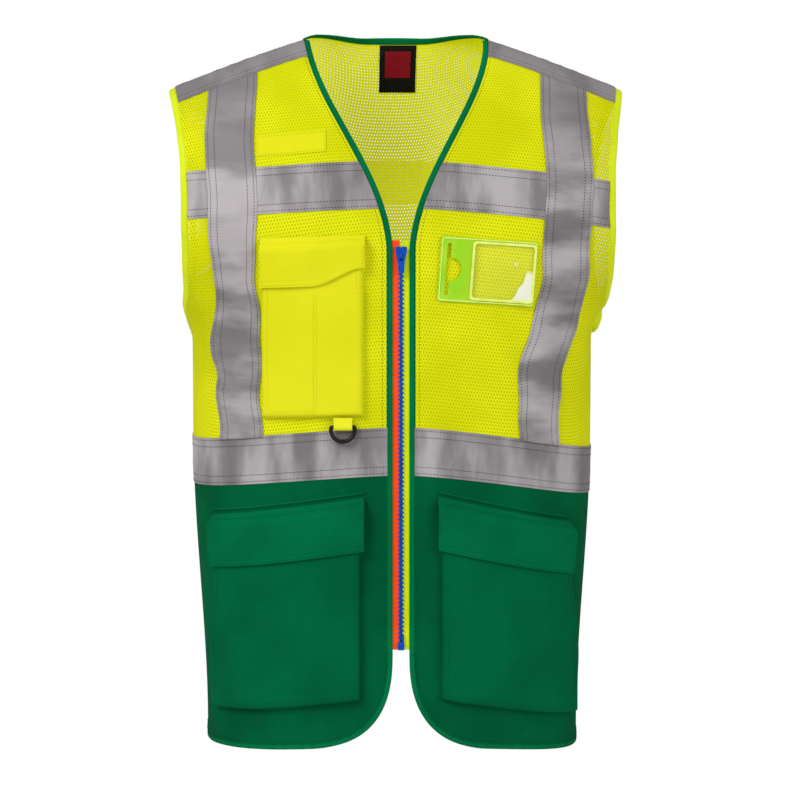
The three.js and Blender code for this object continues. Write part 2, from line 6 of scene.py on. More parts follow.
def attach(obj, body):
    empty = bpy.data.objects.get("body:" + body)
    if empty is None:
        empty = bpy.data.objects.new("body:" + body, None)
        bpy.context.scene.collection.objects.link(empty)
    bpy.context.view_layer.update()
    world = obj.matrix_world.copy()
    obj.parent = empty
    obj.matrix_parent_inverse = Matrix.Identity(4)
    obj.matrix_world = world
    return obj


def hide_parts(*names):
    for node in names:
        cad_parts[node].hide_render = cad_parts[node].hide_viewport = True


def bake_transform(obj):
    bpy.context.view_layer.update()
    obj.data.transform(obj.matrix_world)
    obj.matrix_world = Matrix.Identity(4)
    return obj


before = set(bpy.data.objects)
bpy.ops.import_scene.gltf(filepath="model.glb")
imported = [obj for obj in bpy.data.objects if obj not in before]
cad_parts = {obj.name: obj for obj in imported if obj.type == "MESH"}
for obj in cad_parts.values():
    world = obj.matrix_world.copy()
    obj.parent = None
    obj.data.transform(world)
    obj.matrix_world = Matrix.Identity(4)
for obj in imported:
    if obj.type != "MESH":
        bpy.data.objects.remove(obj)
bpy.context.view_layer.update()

# High visibility vest, seen as its wearer holds it. Lengths are millimetres until a mesh is made,
# +Z is up, the wearer faces -Y and has the left arm on +X.
MM = 0.001
FRONT, BACK = -1, 1
RIGHT, LEFT = -1, 1
SIDES = {"right": RIGHT, "left": LEFT}

# Trunk and shoulders.
DEPTH = 118
OVAL_POWER = 2.6
HEM_HALF_WIDTH, CHEST_HALF_WIDTH, SHOULDER_HALF_WIDTH = 200, 213, 300
SIDE_LEAN = 4.5
SKIRT_FLARE_Z, SKIRT_FLARE, ARM_FLARE = -700, 300, 150  # where the width changes, and over what height
NECK_X, NECK_Z = 97, 25
TIP_X, TIP_DROP = 234, 49
SHOULDER_BOW, SHOULDER_DROP, SHOULDER_POWER = 1.1, 170, 1.8
NAPE_DEPTH = 60

# Openings and levels.
ARMPIT_Z, ARM_X, ARM_CURVE_DROP = -291, 218, 110
ARM_SHARE = 0.62  # share of a mesh panel's rows that lie above the armpit
NECK_SHARE = 0.4  # share of the back mesh's columns that lie under the neckline
FRONT_EDGE_X = 14
ZIP_TOP_Z, ZIP_BOTTOM_Z = -188, -607
CHEST_TAPE_Z, WAIST_TAPE_Z = -101, -374
HEM_Z, FRONT_CORNER_RISE, FRONT_CORNER_X, FRONT_CORNER_POWER = -708, 95, 94, 2.4
BACK_HEM_Z = -654

# Tape and layers: how far each layer's two faces stand off the surface.
TAPE = 50
PANEL = (0, 0.6)
TAPE_BEHIND = (0.66, 0.86)
UNDER_TAPE = (0.95, 1.35)
OVER_TAPE = (1.7, 2.1)
SHOULDER_TAPE_DROP = 19
BRACE_X, BRACE_LEAN = 148, 26
STITCH_ROWS = (2.8, 9.5)  # from each edge of a tape
BINDING_WIDTH, ARM_BINDING_WIDTH = 6.4, 8.4
BINDING_THICK = 2.4
NAPE_BINDING, NAPE_RISE = 8.5, 5.5  # the back neckline: a wider roll that stands up at its ends
CELL, TAPE_CELL = 4, 2.6  # size of the grid cells of a panel and of a tape
TAPE_THICK, CHEST_TAPE = 0.4, 48
TAPE_INSET = 0.6  # a tape ends this far inside an edge


def mix(a, b, share):
    return a + (b - a) * share


def clamp(value):
    return np.clip(value, 0, 1)


def smooth(value):
    value = clamp(value)
    return value * value * (3 - 2 * value)


def unit(vectors):
    return vectors / np.linalg.norm(vectors, axis=-1, keepdims=True)


def run_length(points):
    """How far along the path each of its points is."""
    return np.concatenate([[0], np.linalg.norm(np.diff(points, axis=0), axis=1).cumsum()])


def read_along(at, run, values):
    """The values of a path's points, read at other distances along it."""
    return np.stack([np.interp(at, run, column) for column in values.T], axis=-1)


def ahead_along(path, closed):
    """Which way the path goes at each of its points; the lengths differ."""
    ahead = np.roll(path, -1, axis=0) - np.roll(path, 1, axis=0)
    if not closed:
        ahead[0], ahead[-1] = path[1] - path[0], path[-1] - path[-2]
    return ahead


# ---- The surface that every layer follows ------------------------------------------------------


def side_of(x):
    return np.where(np.asarray(x) < 0, RIGHT, LEFT)


def half_width(side, z):
    skirt = mix(HEM_HALF_WIDTH, CHEST_HALF_WIDTH, smooth((z - SKIRT_FLARE_Z) / SKIRT_FLARE))
    chest = smooth((z - ARMPIT_Z) / ARM_FLARE)
    return mix(skirt, SHOULDER_HALF_WIDTH, chest) - side * SIDE_LEAN * (1 - chest)


def shoulder_line(x):
    out = np.maximum(0, (np.abs(x) - NECK_X) / (TIP_X - NECK_X))
    return NECK_Z - TIP_DROP * out**SHOULDER_BOW


def skin_y(face, x, z):
    reach = np.minimum(1, np.abs(x) / half_width(side_of(x), z))
    full = DEPTH * (1 - reach**OVAL_POWER) ** (1 / OVAL_POWER)
    drop = clamp((shoulder_line(x) - z) / SHOULDER_DROP)
    cap = (1 - (1 - drop) ** SHOULDER_POWER) ** (1 / SHOULDER_POWER)
    start = 0
    if face == BACK:
        nape = np.sqrt(np.maximum(0, 1 - (x / NECK_X) ** 2))
        start = NAPE_DEPTH * nape
        cap = mix(cap, 1 - (1 - drop) ** 2, nape)
    return face * (start + (full - start) * cap)


def skin_normal(face, x, z):
    step = 0.5
    inward = np.where(x < 0, step, -step)
    y = skin_y(face, x, z)
    slope_x = (skin_y(face, x + inward, z) - y) / inward
    slope_z = (y - skin_y(face, x, z - step)) / step
    return unit(np.stack([-slope_x, np.ones_like(y), -slope_z], axis=-1) * face)


def waves(a, b, length, phase):
    """Soft waves along a and b with no plain repeat, from about -1 to 1."""
    first = np.sin(6.3 * a / length + 1.6 * np.sin(2.3 * b / length + phase))
    second = np.sin(4.9 * b / length + 1.3 * np.sin(2.9 * a / length + 2 * phase))
    return 0.6 * first + 0.4 * second


def fold(x, z, centre, lean, width, length):
    """One soft fold: a ridge of height 1 whose line leans from upright by some degrees."""
    turn = np.radians(lean)
    off_x, off_z = x - centre[0], z - centre[1]
    across = off_x * np.cos(turn) - off_z * np.sin(turn)
    along = off_x * np.sin(turn) + off_z * np.cos(turn)
    return np.exp(-((across / width) ** 2) - (along / length) ** 2)


# Soft folds of the fronts: height, middle, lean in degrees, width and length.
FRONT_FOLDS = [
    (3.2, (118, -318), -38, 9, 70),
    (2.6, (84, -352), -50, 8, 46),
    (2.6, (176, -262), -28, 8, 44),
    (-2.4, (98, -300), -42, 10, 60),
    (2.2, (205, -350), -12, 7, 40),
    (2.4, (-200, -300), 14, 8, 50),
    (-2.0, (-186, -235), 20, 9, 40),
    (1.8, (40, -420), 8, 6, 60),
    (1.4, (-36, -400), -6, 6, 50),
]
BROAD_WAVE, CLOSE_WAVE, SKIRT_WAVE = 1.3, 0.9, 2.4  # heights
FADE = 60  # how far the drape takes to fade in


def drape(face, x, z):
    """How far the hanging cloth stands off its smooth shape."""
    still = smooth((np.abs(x) - 18) / FADE)  # flat beside the zip
    edge = smooth((half_width(side_of(x), z) - np.abs(x)) / 30)  # both faces meet at the side seams
    low = smooth((shoulder_line(x) - z) / FADE)
    mesh = smooth((z - WAIST_TAPE_Z) / FADE)
    height = BROAD_WAVE * waves(x, z, 120, 0.4 + face) * (0.4 + 0.6 * mesh)
    height += CLOSE_WAVE * waves(z, x, 46, 1.9) * smooth((np.abs(x) - 120) / 40) * mesh
    height += SKIRT_WAVE * smooth((-470 - z) / 200) * np.sin(x / 31 + 0.6 * side_of(x))
    if face == FRONT:
        for rise, *line in FRONT_FOLDS:
            height += rise * fold(x, z, *line)
    return height * still * edge * low


def nape_rise(x, z):
    """The back neckline stands a little higher towards its ends."""
    inner, outer = smooth((np.abs(x) - 30) / 50), smooth((104 - np.abs(x)) / 16)
    return NAPE_RISE * inner * outer * smooth((z + 15) / 40)


def on_skin(place, lift):
    face, x, z = place
    height = z + nape_rise(x, z) if face == BACK else z
    base = np.stack(np.broadcast_arrays(x, skin_y(face, x, z), height), axis=-1)
    return base + skin_normal(face, x, z) * (np.asarray(lift) + drape(face, x, z))[..., None]


# ---- Lines on the surface ----------------------------------------------------------------------


SIDE_SAG = (0.72, 1.28)  # the vest hangs lower on its left
CHEST_SAG, WAIST_SAG, HEM_SAG = 16, 25, 17
SEAM_UNDER_TAPE = 4
NECK_POWER, NECK_CURVE = 0.95, 0.75  # how much of the neckline's shape is a curve and not straight
SETTLE_ROUNDS = 12


def sag(x, most):
    """Level lines drop towards the sides."""
    return most * np.where(x < 0, *SIDE_SAG) * (np.abs(x) / CHEST_HALF_WIDTH) ** 1.5


def chest_tape_top(x):
    return CHEST_TAPE_Z - sag(x, CHEST_SAG)


def waist_tape_top(x):
    return WAIST_TAPE_Z - sag(x, WAIST_SAG)


def waist_seam(x):
    return waist_tape_top(x) - TAPE + SEAM_UNDER_TAPE


def front_hem(x):
    corner = clamp((FRONT_CORNER_X - np.abs(x)) / (FRONT_CORNER_X - FRONT_EDGE_X))
    curve = (1 - corner**FRONT_CORNER_POWER) ** (1 / FRONT_CORNER_POWER)
    return HEM_Z + FRONT_CORNER_RISE * (1 - curve) - sag(x, HEM_SAG)


def back_hem(x):
    side = side_of(x)
    seam_x = half_width(side, HEM_Z)
    return mix(BACK_HEM_Z, front_hem(side * seam_x), clamp(np.abs(x) / seam_x) ** 2)


def neck_edge(z):
    down = clamp((NECK_Z - z) / (NECK_Z - ZIP_TOP_Z)) ** NECK_POWER
    curve = NECK_CURVE * np.cos(down * np.pi / 2) ** 2 + (1 - NECK_CURVE) * (1 - down)
    return mix(FRONT_EDGE_X, NECK_X, curve)


def arm_edge(z):
    return mix(ARM_X, TIP_X, (1 - clamp((NECK_Z - TIP_DROP - z) / ARM_CURVE_DROP)) ** 2)


def outer_edge(side, z):
    seam = half_width(side, z)
    return np.where(z > ARMPIT_Z, mix(arm_edge(z), seam, smooth((-235 - z) / 56)), seam)


def settle(side, height, width_at):
    """The x whose width belongs to its own height, and that height."""
    x = side * FRONT_EDGE_X + 0.0 * np.asarray(height(0.0))
    for _ in range(SETTLE_ROUNDS):
        x = side * width_at(height(x))
    return x, height(x)


def spread(u):
    """Columns crowd towards the side, where the cloth turns round the body."""
    return np.sin(u * np.pi / 2)


def mesh_row(x, v):
    down = v / ARM_SHARE
    upper = mix(shoulder_line(x), ARMPIT_Z, 0.65 * smooth(down) + 0.35 * clamp(down))
    lower = mix(ARMPIT_Z, waist_seam(x), (v - ARM_SHARE) / (1 - ARM_SHARE))
    return np.where(v <= ARM_SHARE, upper, lower)


def front_mesh(side):
    def place(u, v):
        width = lambda z: mix(neck_edge(z), outer_edge(side, z), spread(u))
        return (FRONT, *settle(side, lambda x: mesh_row(x, v), width))
    return place


def back_mesh(u, v):
    side, out = np.where(u < 0.5, RIGHT, LEFT), np.abs(2 * u - 1)

    def width(z):
        beyond = clamp((out - NECK_SHARE) / (1 - NECK_SHARE))
        outside = mix(NECK_X, outer_edge(side, z), spread(beyond))
        return np.where(out <= NECK_SHARE, NECK_X * out / NECK_SHARE, outside)
    return (BACK, *settle(side, lambda x: mesh_row(x, v), width))


def front_skirt(side):
    def place(u, v):
        height = lambda x: mix(waist_seam(x), front_hem(x), v)
        width = lambda z: mix(FRONT_EDGE_X, half_width(side, z), spread(u**1.4))
        return (FRONT, *settle(side, height, width))
    return place


def back_skirt(u, v):
    side = np.where(u < 0.5, RIGHT, LEFT)
    height = lambda x: mix(waist_seam(x), back_hem(x), v)
    return (BACK, *settle(side, height, lambda z: half_width(side, z) * spread(np.abs(2 * u - 1))))


# ---- Meshes ------------------------------------------------------------------------------------


def add_object(name, data):
    obj = bpy.data.objects.new(name, data)
    bpy.context.scene.collection.objects.link(obj)
    return obj


def mesh_object(name, points, faces, material, uvs=None):
    """A smooth mesh from points in millimetres, and UVs, also in millimetres, one for each point."""
    data = bpy.data.meshes.new(name)
    data.from_pydata((np.asarray(points) * MM).tolist(), [], faces)
    data.shade_smooth()
    if uvs is not None:
        corner = np.empty(len(data.loops), dtype=np.int32)
        data.loops.foreach_get("vertex_index", corner)
        layer = data.uv_layers.new(name="cloth")
        layer.data.foreach_set("uv", (np.asarray(uvs)[corner] * MM).ravel())
    data.materials.append(material)
    return add_object(name, data)


def finish_piece(obj, slot, body="vest_body", replaced=None):
    """The piece rides with its body and stands for the CAD node of the same name."""
    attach(obj, body)
    name = replaced or obj.name.replace("_cloth", "")
    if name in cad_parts:
        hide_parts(name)
    return obj


def cells_of(width, length, across=CELL, down=CELL):
    return round(width / across), round(length / down)


def grid_lines(cells, edge):
    """Shares from 0 to 1, with one more line close to each end so that the rim stays crisp."""
    return np.concatenate([[0, edge], np.linspace(0, 1, cells + 1)[1:-1], [1 - edge, 1]])


def shell_faces(rows, columns):
    """Faces of a closed shell made of two grids of points, the outer grid first."""
    total = rows * columns
    number = np.arange(total).reshape(rows, columns)
    quads = np.stack([number[:-1, :-1], number[:-1, 1:], number[1:, 1:], number[1:, :-1]], axis=-1)
    quads = quads.reshape(-1, 4)
    rim = [*number[0, :-1], *number[:-1, -1], *number[-1, :0:-1], *number[:0:-1, 0]]
    walls = [[b, a, a + total, b + total] for a, b in zip(rim, rim[1:] + rim[:1])]
    return np.concatenate([quads, quads[:, ::-1] + total, walls])


def cloth(name, place, cells, lifts, slot, body="vest_body", edge=0.004, material=None):
    """Cloth between two lifts off the surface; place(u, v) gives face, x and z."""
    u, v = np.meshgrid(grid_lines(cells[0], edge), grid_lines(cells[1], edge))
    spot = place(u, v)
    lift = [part(u, v) if callable(part) else np.full(u.shape, float(part)) for part in lifts]
    inner, outer = (on_skin(spot, part) for part in lift)
    across = np.linalg.norm(np.diff(outer, axis=1), axis=-1).cumsum(axis=1)
    down = np.linalg.norm(np.diff(outer, axis=0), axis=-1).cumsum(axis=0)
    along_x = np.pad(across, ((0, 0), (1, 0))) + spot[1][:, :1] * np.sign(spot[1].mean())
    along_z = np.pad(down, ((1, 0), (0, 0))) - spot[2][:1]
    uvs = np.stack([along_x, -along_z], axis=-1).reshape(-1, 2)
    faces = shell_faces(*u.shape)
    corner, right, below = outer[0, 0], outer[0, -1], outer[-1, 0]
    out = skin_normal(spot[0], spot[1][:1, :1], spot[2][:1, :1])[0, 0]
    if np.dot(np.cross(below - corner, right - corner), out) < 0:
        faces = faces[:, ::-1]
    points = np.concatenate([outer.reshape(-1, 3), inner.reshape(-1, 3)])
    uvs = np.concatenate([uvs, uvs])
    obj = mesh_object(name + "_cloth", points, faces.tolist(), material or MATERIALS[slot], uvs)
    return finish_piece(obj, slot, body)


def loft_faces(count, sides, closed):
    """Faces between rings of points, one ring after the other; an open row of rings is capped."""
    faces = []
    for k in range(count if closed else count - 1):
        a, b = k * sides, (k + 1) % count * sides
        faces += [[a + c, b + c, b + (c + 1) % sides, a + (c + 1) % sides] for c in range(sides)]
    if not closed:
        faces += [list(range(sides)), [(count - 1) * sides + c for c in range(sides)][::-1]]
    return faces


def tube(name, path, radius, sides, closed, slot, body, up=(0, -1, 0)):
    """A round tube along a path of points; up is roughly square to the path all along it."""
    path = np.asarray(path, dtype=float)
    ahead = unit(ahead_along(path, closed))
    across = unit(np.cross(up, ahead))
    out = np.cross(ahead, across)
    turns = np.arange(sides) * 2 * np.pi / sides
    points = [path + radius * (np.cos(turn) * across + np.sin(turn) * out) for turn in turns]
    uvs = [np.stack([np.full(len(path), turn * radius), run_length(path)], axis=-1) for turn in turns]
    points = np.stack(points, axis=1).reshape(-1, 3)
    uvs = np.stack(uvs, axis=1).reshape(-1, 2)
    faces = [face[:1] + face[:0:-1] for face in loft_faces(len(path), sides, closed)]
    return finish_piece(mesh_object(name, points, faces, MATERIALS[slot], uvs), slot, body)


STITCH = {"pitch": 3.2, "length": 2.0, "half_width": 0.62, "height": 0.35, "depth": 0.1}
STITCH_FACES = np.array(
    [(0, 2, 4), (2, 1, 4), (1, 3, 4), (3, 0, 4), (2, 0, 5), (1, 2, 5), (3, 1, 5), (0, 3, 5)]
)
stitch_lines = {}


def stitch(thread, points, normals, body="vest_body"):
    """Adds a row of stitches along a path of points with their out directions."""
    run = run_length(points)
    at = np.arange(STITCH["pitch"] / 2, run[-1], STITCH["pitch"])
    middle, out = read_along(at, run, points), read_along(at, run, normals)
    along = unit(read_along(at + 0.5, run, points) - read_along(at - 0.5, run, points))
    lengthways = STITCH["length"] / 2 * along
    sideways = STITCH["half_width"] * np.cross(out, along)
    corners = [middle - lengthways, middle + lengthways, middle - sideways, middle + sideways]
    corners += [middle + STITCH["height"] * out, middle - STITCH["depth"] * out]
    stitch_lines.setdefault((thread, body), []).append(np.stack(corners, axis=1))


def sew(thread, place, u, v, lift, body="vest_body"):
    """A row of stitches on the surface, along u and v, of which one may be a single number."""
    u, v = np.broadcast_arrays(np.asarray(u, dtype=float), np.asarray(v, dtype=float))
    spot = place(u, v)
    stitch(thread, on_skin(spot, lift(u, v) if callable(lift) else lift), skin_normal(*spot), body)


def build_stitches(threads):
    for (thread, body), lines in stitch_lines.items():
        corners = np.concatenate(lines)
        faces = (STITCH_FACES + 6 * np.arange(len(corners))[:, None, None]).reshape(-1, 3)
        name = f"stitching_{thread}_{body}"
        obj = mesh_object(name, corners.reshape(-1, 3), faces.tolist(), threads[thread][0])
        finish_piece(obj, threads[thread][1], body)


# ---- Materials ---------------------------------------------------------------------------------


def linear(red, green, blue):
    """An sRGB colour from 0 to 255 as the linear one that nodes take."""
    share = np.array([red, green, blue]) / 255
    low, high = share / 12.92, ((share + 0.055) / 1.055) ** 2.4
    return (*np.where(share <= 0.04045, low, high).tolist(), 1.0)


class Paint:
    """One material's nodes. Inputs are either numbers or other nodes' outputs."""

    def __init__(self, name, roughness, **numbers):
        self.material = bpy.data.materials.new(name)
        self.material.use_nodes = True
        self.tree = self.material.node_tree
        self.shader = self.tree.nodes["Principled BSDF"]
        self.shader.inputs["Roughness"].default_value = roughness
        for socket, value in numbers.items():
            self.shader.inputs[socket.replace("_", " ")].default_value = value
        self.object = self.tree.nodes.new("ShaderNodeTexCoord").outputs["Object"]
        self.cloth = self.tree.nodes.new("ShaderNodeUVMap")
        self.cloth.uv_map = "cloth"
        self.cloth = self.cloth.outputs["UV"]

    def node(self, kind, inputs, output=0, **settings):
        made = self.tree.nodes.new(kind)
        for key, value in settings.items():
            setattr(made, key, value)
        for key, value in inputs.items():
            if isinstance(value, bpy.types.NodeSocket):
                self.tree.links.new(value, made.inputs[key])
            else:
                made.inputs[key].default_value = value
        return made.outputs[output]

    def axes(self, source):
        """The source's separate x, y and z."""
        made = self.tree.nodes.new("ShaderNodeSeparateXYZ")
        self.tree.links.new(source, made.inputs[0])
        return made.outputs

    def math(self, operation, a, b=0.0):
        return self.node("ShaderNodeMath", {0: a, 1: b}, operation=operation)

    def noise(self, scale, detail=2.0, source=None):
        source = source or self.object
        return self.node("ShaderNodeTexNoise", {"Vector": source, "Scale": scale, "Detail": detail})

    def step(self, value, low, high, start=0.0, end=1.0):
        """Goes smoothly from start to end as the value goes from low to high."""
        inputs = {0: value, 1: low, 2: high, 3: start, 4: end}
        return self.node("ShaderNodeMapRange", inputs, interpolation_type="SMOOTHSTEP")

    def blend(self, share, a, b):
        inputs = {0: share, 6: a, 7: b}
        return self.node("ShaderNodeMix", inputs, output=2, data_type="RGBA")

    def colour(self, value):
        self.tree.links.new(value, self.shader.inputs["Base Color"])

    def alpha(self, value):
        self.tree.links.new(value, self.shader.inputs["Alpha"])

    def glow(self, strength, colour):
        self.shader.inputs["Emission Color"].default_value = colour
        self.shader.inputs["Emission Strength"].default_value = strength

    def bump(self, height, depth, strength=1.0, under=None):
        inputs = {"Height": height, "Distance": depth, "Strength": strength}
        if under is not None:
            inputs["Normal"] = under
        made = self.node("ShaderNodeBump", inputs)
        self.tree.links.new(made, self.shader.inputs["Normal"])
        return made

    def weave(self, pitch, turn=0.0):
        """Fine ribs across the cloth, turned by some degrees from upright."""
        turned = self.node("ShaderNodeVectorRotate", {"Vector": self.cloth, "Angle": np.radians(turn)})
        inputs = {"Vector": turned, "Scale": 0.3142 / pitch, "Distortion": 0.4}
        return self.node("ShaderNodeTexWave", inputs)


def darker(colour, share):
    return (*(share * part for part in linear(*colour)[:3]), 1.0)


def woven(name, colour, shade, pitch=0.0007, turn=45.0, glow=0.0, roughness=0.9, shine=0.08):
    """Woven cloth: a colour with soft, uneven patches, diagonal ribs and a slight crumple."""
    paint = Paint(name, roughness, Specular_IOR_Level=shine)
    patches = paint.step(paint.noise(14.0, 3.0), 0.35, 0.65)
    ribs = paint.weave(pitch, turn)
    base = paint.blend(patches, linear(*shade), linear(*colour))
    paint.colour(paint.blend(paint.math("MULTIPLY", ribs, 0.35), base, darker(shade, 0.82)))
    slack = paint.bump(paint.noise(12.0, 2.0), 0.008, 0.45)
    crumple = paint.bump(paint.noise(55.0, 4.0), 0.0012, 0.35, under=slack)
    paint.bump(ribs, 0.0002, 0.5, under=crumple)
    if glow:
        paint.glow(glow, linear(*colour))
    return paint.material


HOLE = {"across": 0.0031, "down": 0.0036}  # metres from one hole to the next
FRONT_HOLE, BACK_HOLE = (0.00052, 0.00095), (0.00052, 0.00085)  # half width and half height
HOLE_SHADE_END = (0.186, 0.2)  # metres from the middle of the vest, over which the holes' painted shade fades out


def mesh_cloth(name, half_width, half_height, veil, glow):
    """Knitted mesh: staggered oval holes with raised yarn between them. veil is how far the holes are
    filled with painted shade, the shaded inside seen through them, except beside the armholes."""
    paint = Paint(name, 0.85, Specular_IOR_Level=0.08)
    uneven = {0: paint.noise(60.0), "Scale": 0.0006}
    wobble = paint.node("ShaderNodeVectorMath", uneven, operation="SCALE")
    moved = paint.node("ShaderNodeVectorMath", {0: paint.cloth, 1: wobble}, operation="ADD")
    across, up, _ = paint.axes(moved)
    row = paint.math("DIVIDE", up, HOLE["down"])
    odd = paint.math("MULTIPLY", paint.math("MODULO", paint.math("FLOOR", row), 2.0), 0.5)
    column = paint.math("ADD", paint.math("DIVIDE", across, HOLE["across"]), odd)
    side = paint.math("SUBTRACT", paint.math("FRACT", column), 0.5)
    rise = paint.math("SUBTRACT", paint.math("FRACT", row), 0.5)
    side = paint.math("MULTIPLY", side, HOLE["across"] / half_width)
    rise = paint.math("MULTIPLY", rise, HOLE["down"] / half_height)
    out = paint.math("ADD", paint.math("MULTIPLY", side, side), paint.math("MULTIPLY", rise, rise))
    # painted shade: soft patches between the lit and shaded yellows stand for the shading of wide folds
    patches = paint.step(paint.noise(8.0, 2.0), 0.36, 0.62)
    base = paint.blend(patches, linear(*MESH_SHADE), linear(*MESH_YELLOW))
    # painted shade: the holes and the rims round them dark olive, for the shaded inside seen through
    # them
    edge = paint.step(out, 0.9, 2.2)
    paint.colour(paint.blend(edge, darker(MESH_SHADE, 0.84), base))
    from_middle = paint.math("ABSOLUTE", paint.axes(paint.object)[0])
    # painted shade fills the holes, except beside the armholes where they stay clear
    threads = paint.step(from_middle, *HOLE_SHADE_END, veil, 0.0)
    paint.alpha(paint.math("MAXIMUM", paint.step(out, 0.85, 1.1), threads))
    slack = paint.bump(paint.noise(9.0, 2.0), 0.014, 0.5)
    paint.bump(edge, 0.0005, 0.6, under=slack)
    paint.glow(glow, linear(*MESH_YELLOW))
    return paint.material


def reflective_tape(name, stretch):
    """Grey tape of fine glass beads: matt, with painted sheen and shade of soft folds across its length,
    painted shade towards the shoulders and a faint grain. stretch is the scale along x, y and z of the
    painted folds' pattern."""
    paint = Paint(name, 0.5, Specular_IOR_Level=0.4)
    place = paint.node("ShaderNodeMapping", {"Vector": paint.object, "Scale": stretch})
    # painted light: the folds' sheen and shade as pale and dark bands of grey
    folds = paint.step(paint.noise(24.0, 4.0, place), 0.37, 0.63)
    base = paint.blend(folds, linear(114, 109, 111), linear(180, 174, 176))
    # painted shade: the tape darker towards the shoulders
    painted_shoulder_shade = paint.step(paint.axes(paint.object)[2], -0.14, -0.03, 0.0, 0.7)
    base = paint.blend(painted_shoulder_shade, base, linear(122, 117, 120))
    grain = paint.noise(2600.0, 2.0, paint.cloth)
    paint.colour(paint.blend(paint.step(grain, 0.3, 0.7, 0.0, 0.3), base, linear(112, 106, 108)))
    under = paint.bump(paint.noise(22.0, 2.0, place), 0.005, 0.6)
    paint.bump(grain, 0.0002, 0.3, under=under)
    return paint.material


def plastic(name, colour, shade, roughness=0.3, coat=0.0, shine=0.5):
    """Moulded plastic or enamel: nearly even, with a faint mottle."""
    paint = Paint(name, roughness, Coat_Weight=coat, Specular_IOR_Level=shine)
    mottle = paint.step(paint.noise(120.0, 3.0), 0.3, 0.7)
    paint.colour(paint.blend(mottle, linear(*shade), linear(*colour)))
    paint.bump(paint.noise(400.0, 2.0), 0.0002, 0.2)
    return paint.material


def hook_and_loop():
    paint = Paint("hook and loop", 0.95, Sheen_Weight=0.5)
    fuzz = paint.noise(1500.0, 3.0)
    paint.colour(paint.blend(fuzz, linear(18, 18, 20), linear(64, 64, 68)))
    paint.bump(fuzz, 0.0006, 0.9)
    return paint.material


def badge_vinyl():
    """Soft translucent vinyl: strong lime where it is folded, paler towards its other end."""
    paint = Paint("badge vinyl", 0.2, Coat_Weight=0.25, Specular_IOR_Level=0.3)
    share = paint.step(paint.axes(paint.object)[0], 0.052, 0.1)
    colour = paint.blend(share, linear(146, 214, 20), linear(196, 222, 34))
    # painted sheen: paler streaks on the glossy vinyl
    sheen_streak = paint.step(paint.noise(45.0, 2.0), 0.45, 0.7)
    paint.colour(paint.blend(paint.math("MULTIPLY", sheen_streak, 0.3), colour, linear(214, 236, 70)))
    paint.alpha(paint.step(share, 0.0, 1.0, 0.92, 0.55))
    paint.bump(paint.noise(60.0, 2.0), 0.0015, 0.5)
    # painted light: a faint glow
    paint.glow(0.05, linear(160, 222, 10))
    return paint.material


def clear_film():
    """Clear film with a faint tint and ripple, and a milky patch of painted glare: a reflection painted
    on it.
    """
    paint = Paint("clear film", 0.12, Coat_Weight=0.1)
    glare_noise = paint.noise(30.0, 1.0)
    # painted reflection: the glare gathers towards the window's far end
    far_end = paint.step(paint.axes(paint.object)[0], 0.102, 0.122, 0.0, 0.27)
    glare = paint.step(paint.math("ADD", glare_noise, far_end), 0.66, 0.72)
    paint.colour(paint.blend(glare, linear(240, 242, 120), linear(252, 252, 236)))
    paint.alpha(paint.step(glare, 0.0, 1.0, 0.08, 0.66))
    paint.bump(glare_noise, 0.002, 0.3)
    return paint.material


MESH_YELLOW, MESH_SHADE = (217, 220, 16), (194, 199, 0)

# A glow is painted light: the fluorescent cloths and threads light themselves a little, lifting their
# shade.
# slot: material
MATERIALS = {
    "mesh": mesh_cloth("front mesh", *FRONT_HOLE, veil=0.8, glow=0.1),
    "yellow_cloth": woven("yellow cloth", (221, 219, 30), (214, 214, 22), glow=0.08),
    "lime_binding": woven("lime binding", (214, 228, 40), (204, 220, 28), turn=0.0, glow=0.08),
    "green_binding": woven("green binding", (0, 119, 70), (0, 106, 61), turn=0.0, shine=0.04),
    "skirt": woven("green twill", (0, 98, 58), (0, 85, 50), shine=0.03),
    "green_cloth": woven("green pocket twill", (0, 102, 61), (0, 92, 55), shine=0.03),
    "reflective_tape": reflective_tape("level tape", (1.0, 0.4, 0.3)),
    "orange_zip_tape": woven("orange zip tape", (255, 88, 36), (246, 72, 26), turn=90.0, glow=0.1),
    "lime_zip_tape": woven("lime zip tape", (216, 232, 24), (200, 220, 16), turn=90.0, glow=0.1),
    "blue_zip": plastic("blue zip", (0, 82, 192), (0, 66, 168), 0.5, shine=0.15),
    "hook_and_loop": hook_and_loop(),
    "label_cloth": woven("black label satin", (26, 24, 25), (14, 13, 14), turn=90.0, roughness=0.5),
    "label_emblem": woven("dark red weave", (150, 22, 44), (128, 10, 30), turn=90.0, roughness=0.6),
    "black_ring": plastic("black ring", (9, 9, 10), (5, 5, 6), 0.42, shine=0.3),
    "yellow_webbing": woven("yellow webbing", (232, 230, 46), (214, 214, 30), 0.0012, 0.0, glow=0.1),
    "badge_vinyl": badge_vinyl(),
    "clear_film": clear_film(),
}
# its strong glow is painted light that lifts the shaded inside of the back
BACK_MESH = mesh_cloth("back mesh", *BACK_HOLE, veil=0.0, glow=0.36)
UPRIGHT_TAPE = reflective_tape("upright tape", (0.35, 0.3, 1.0))
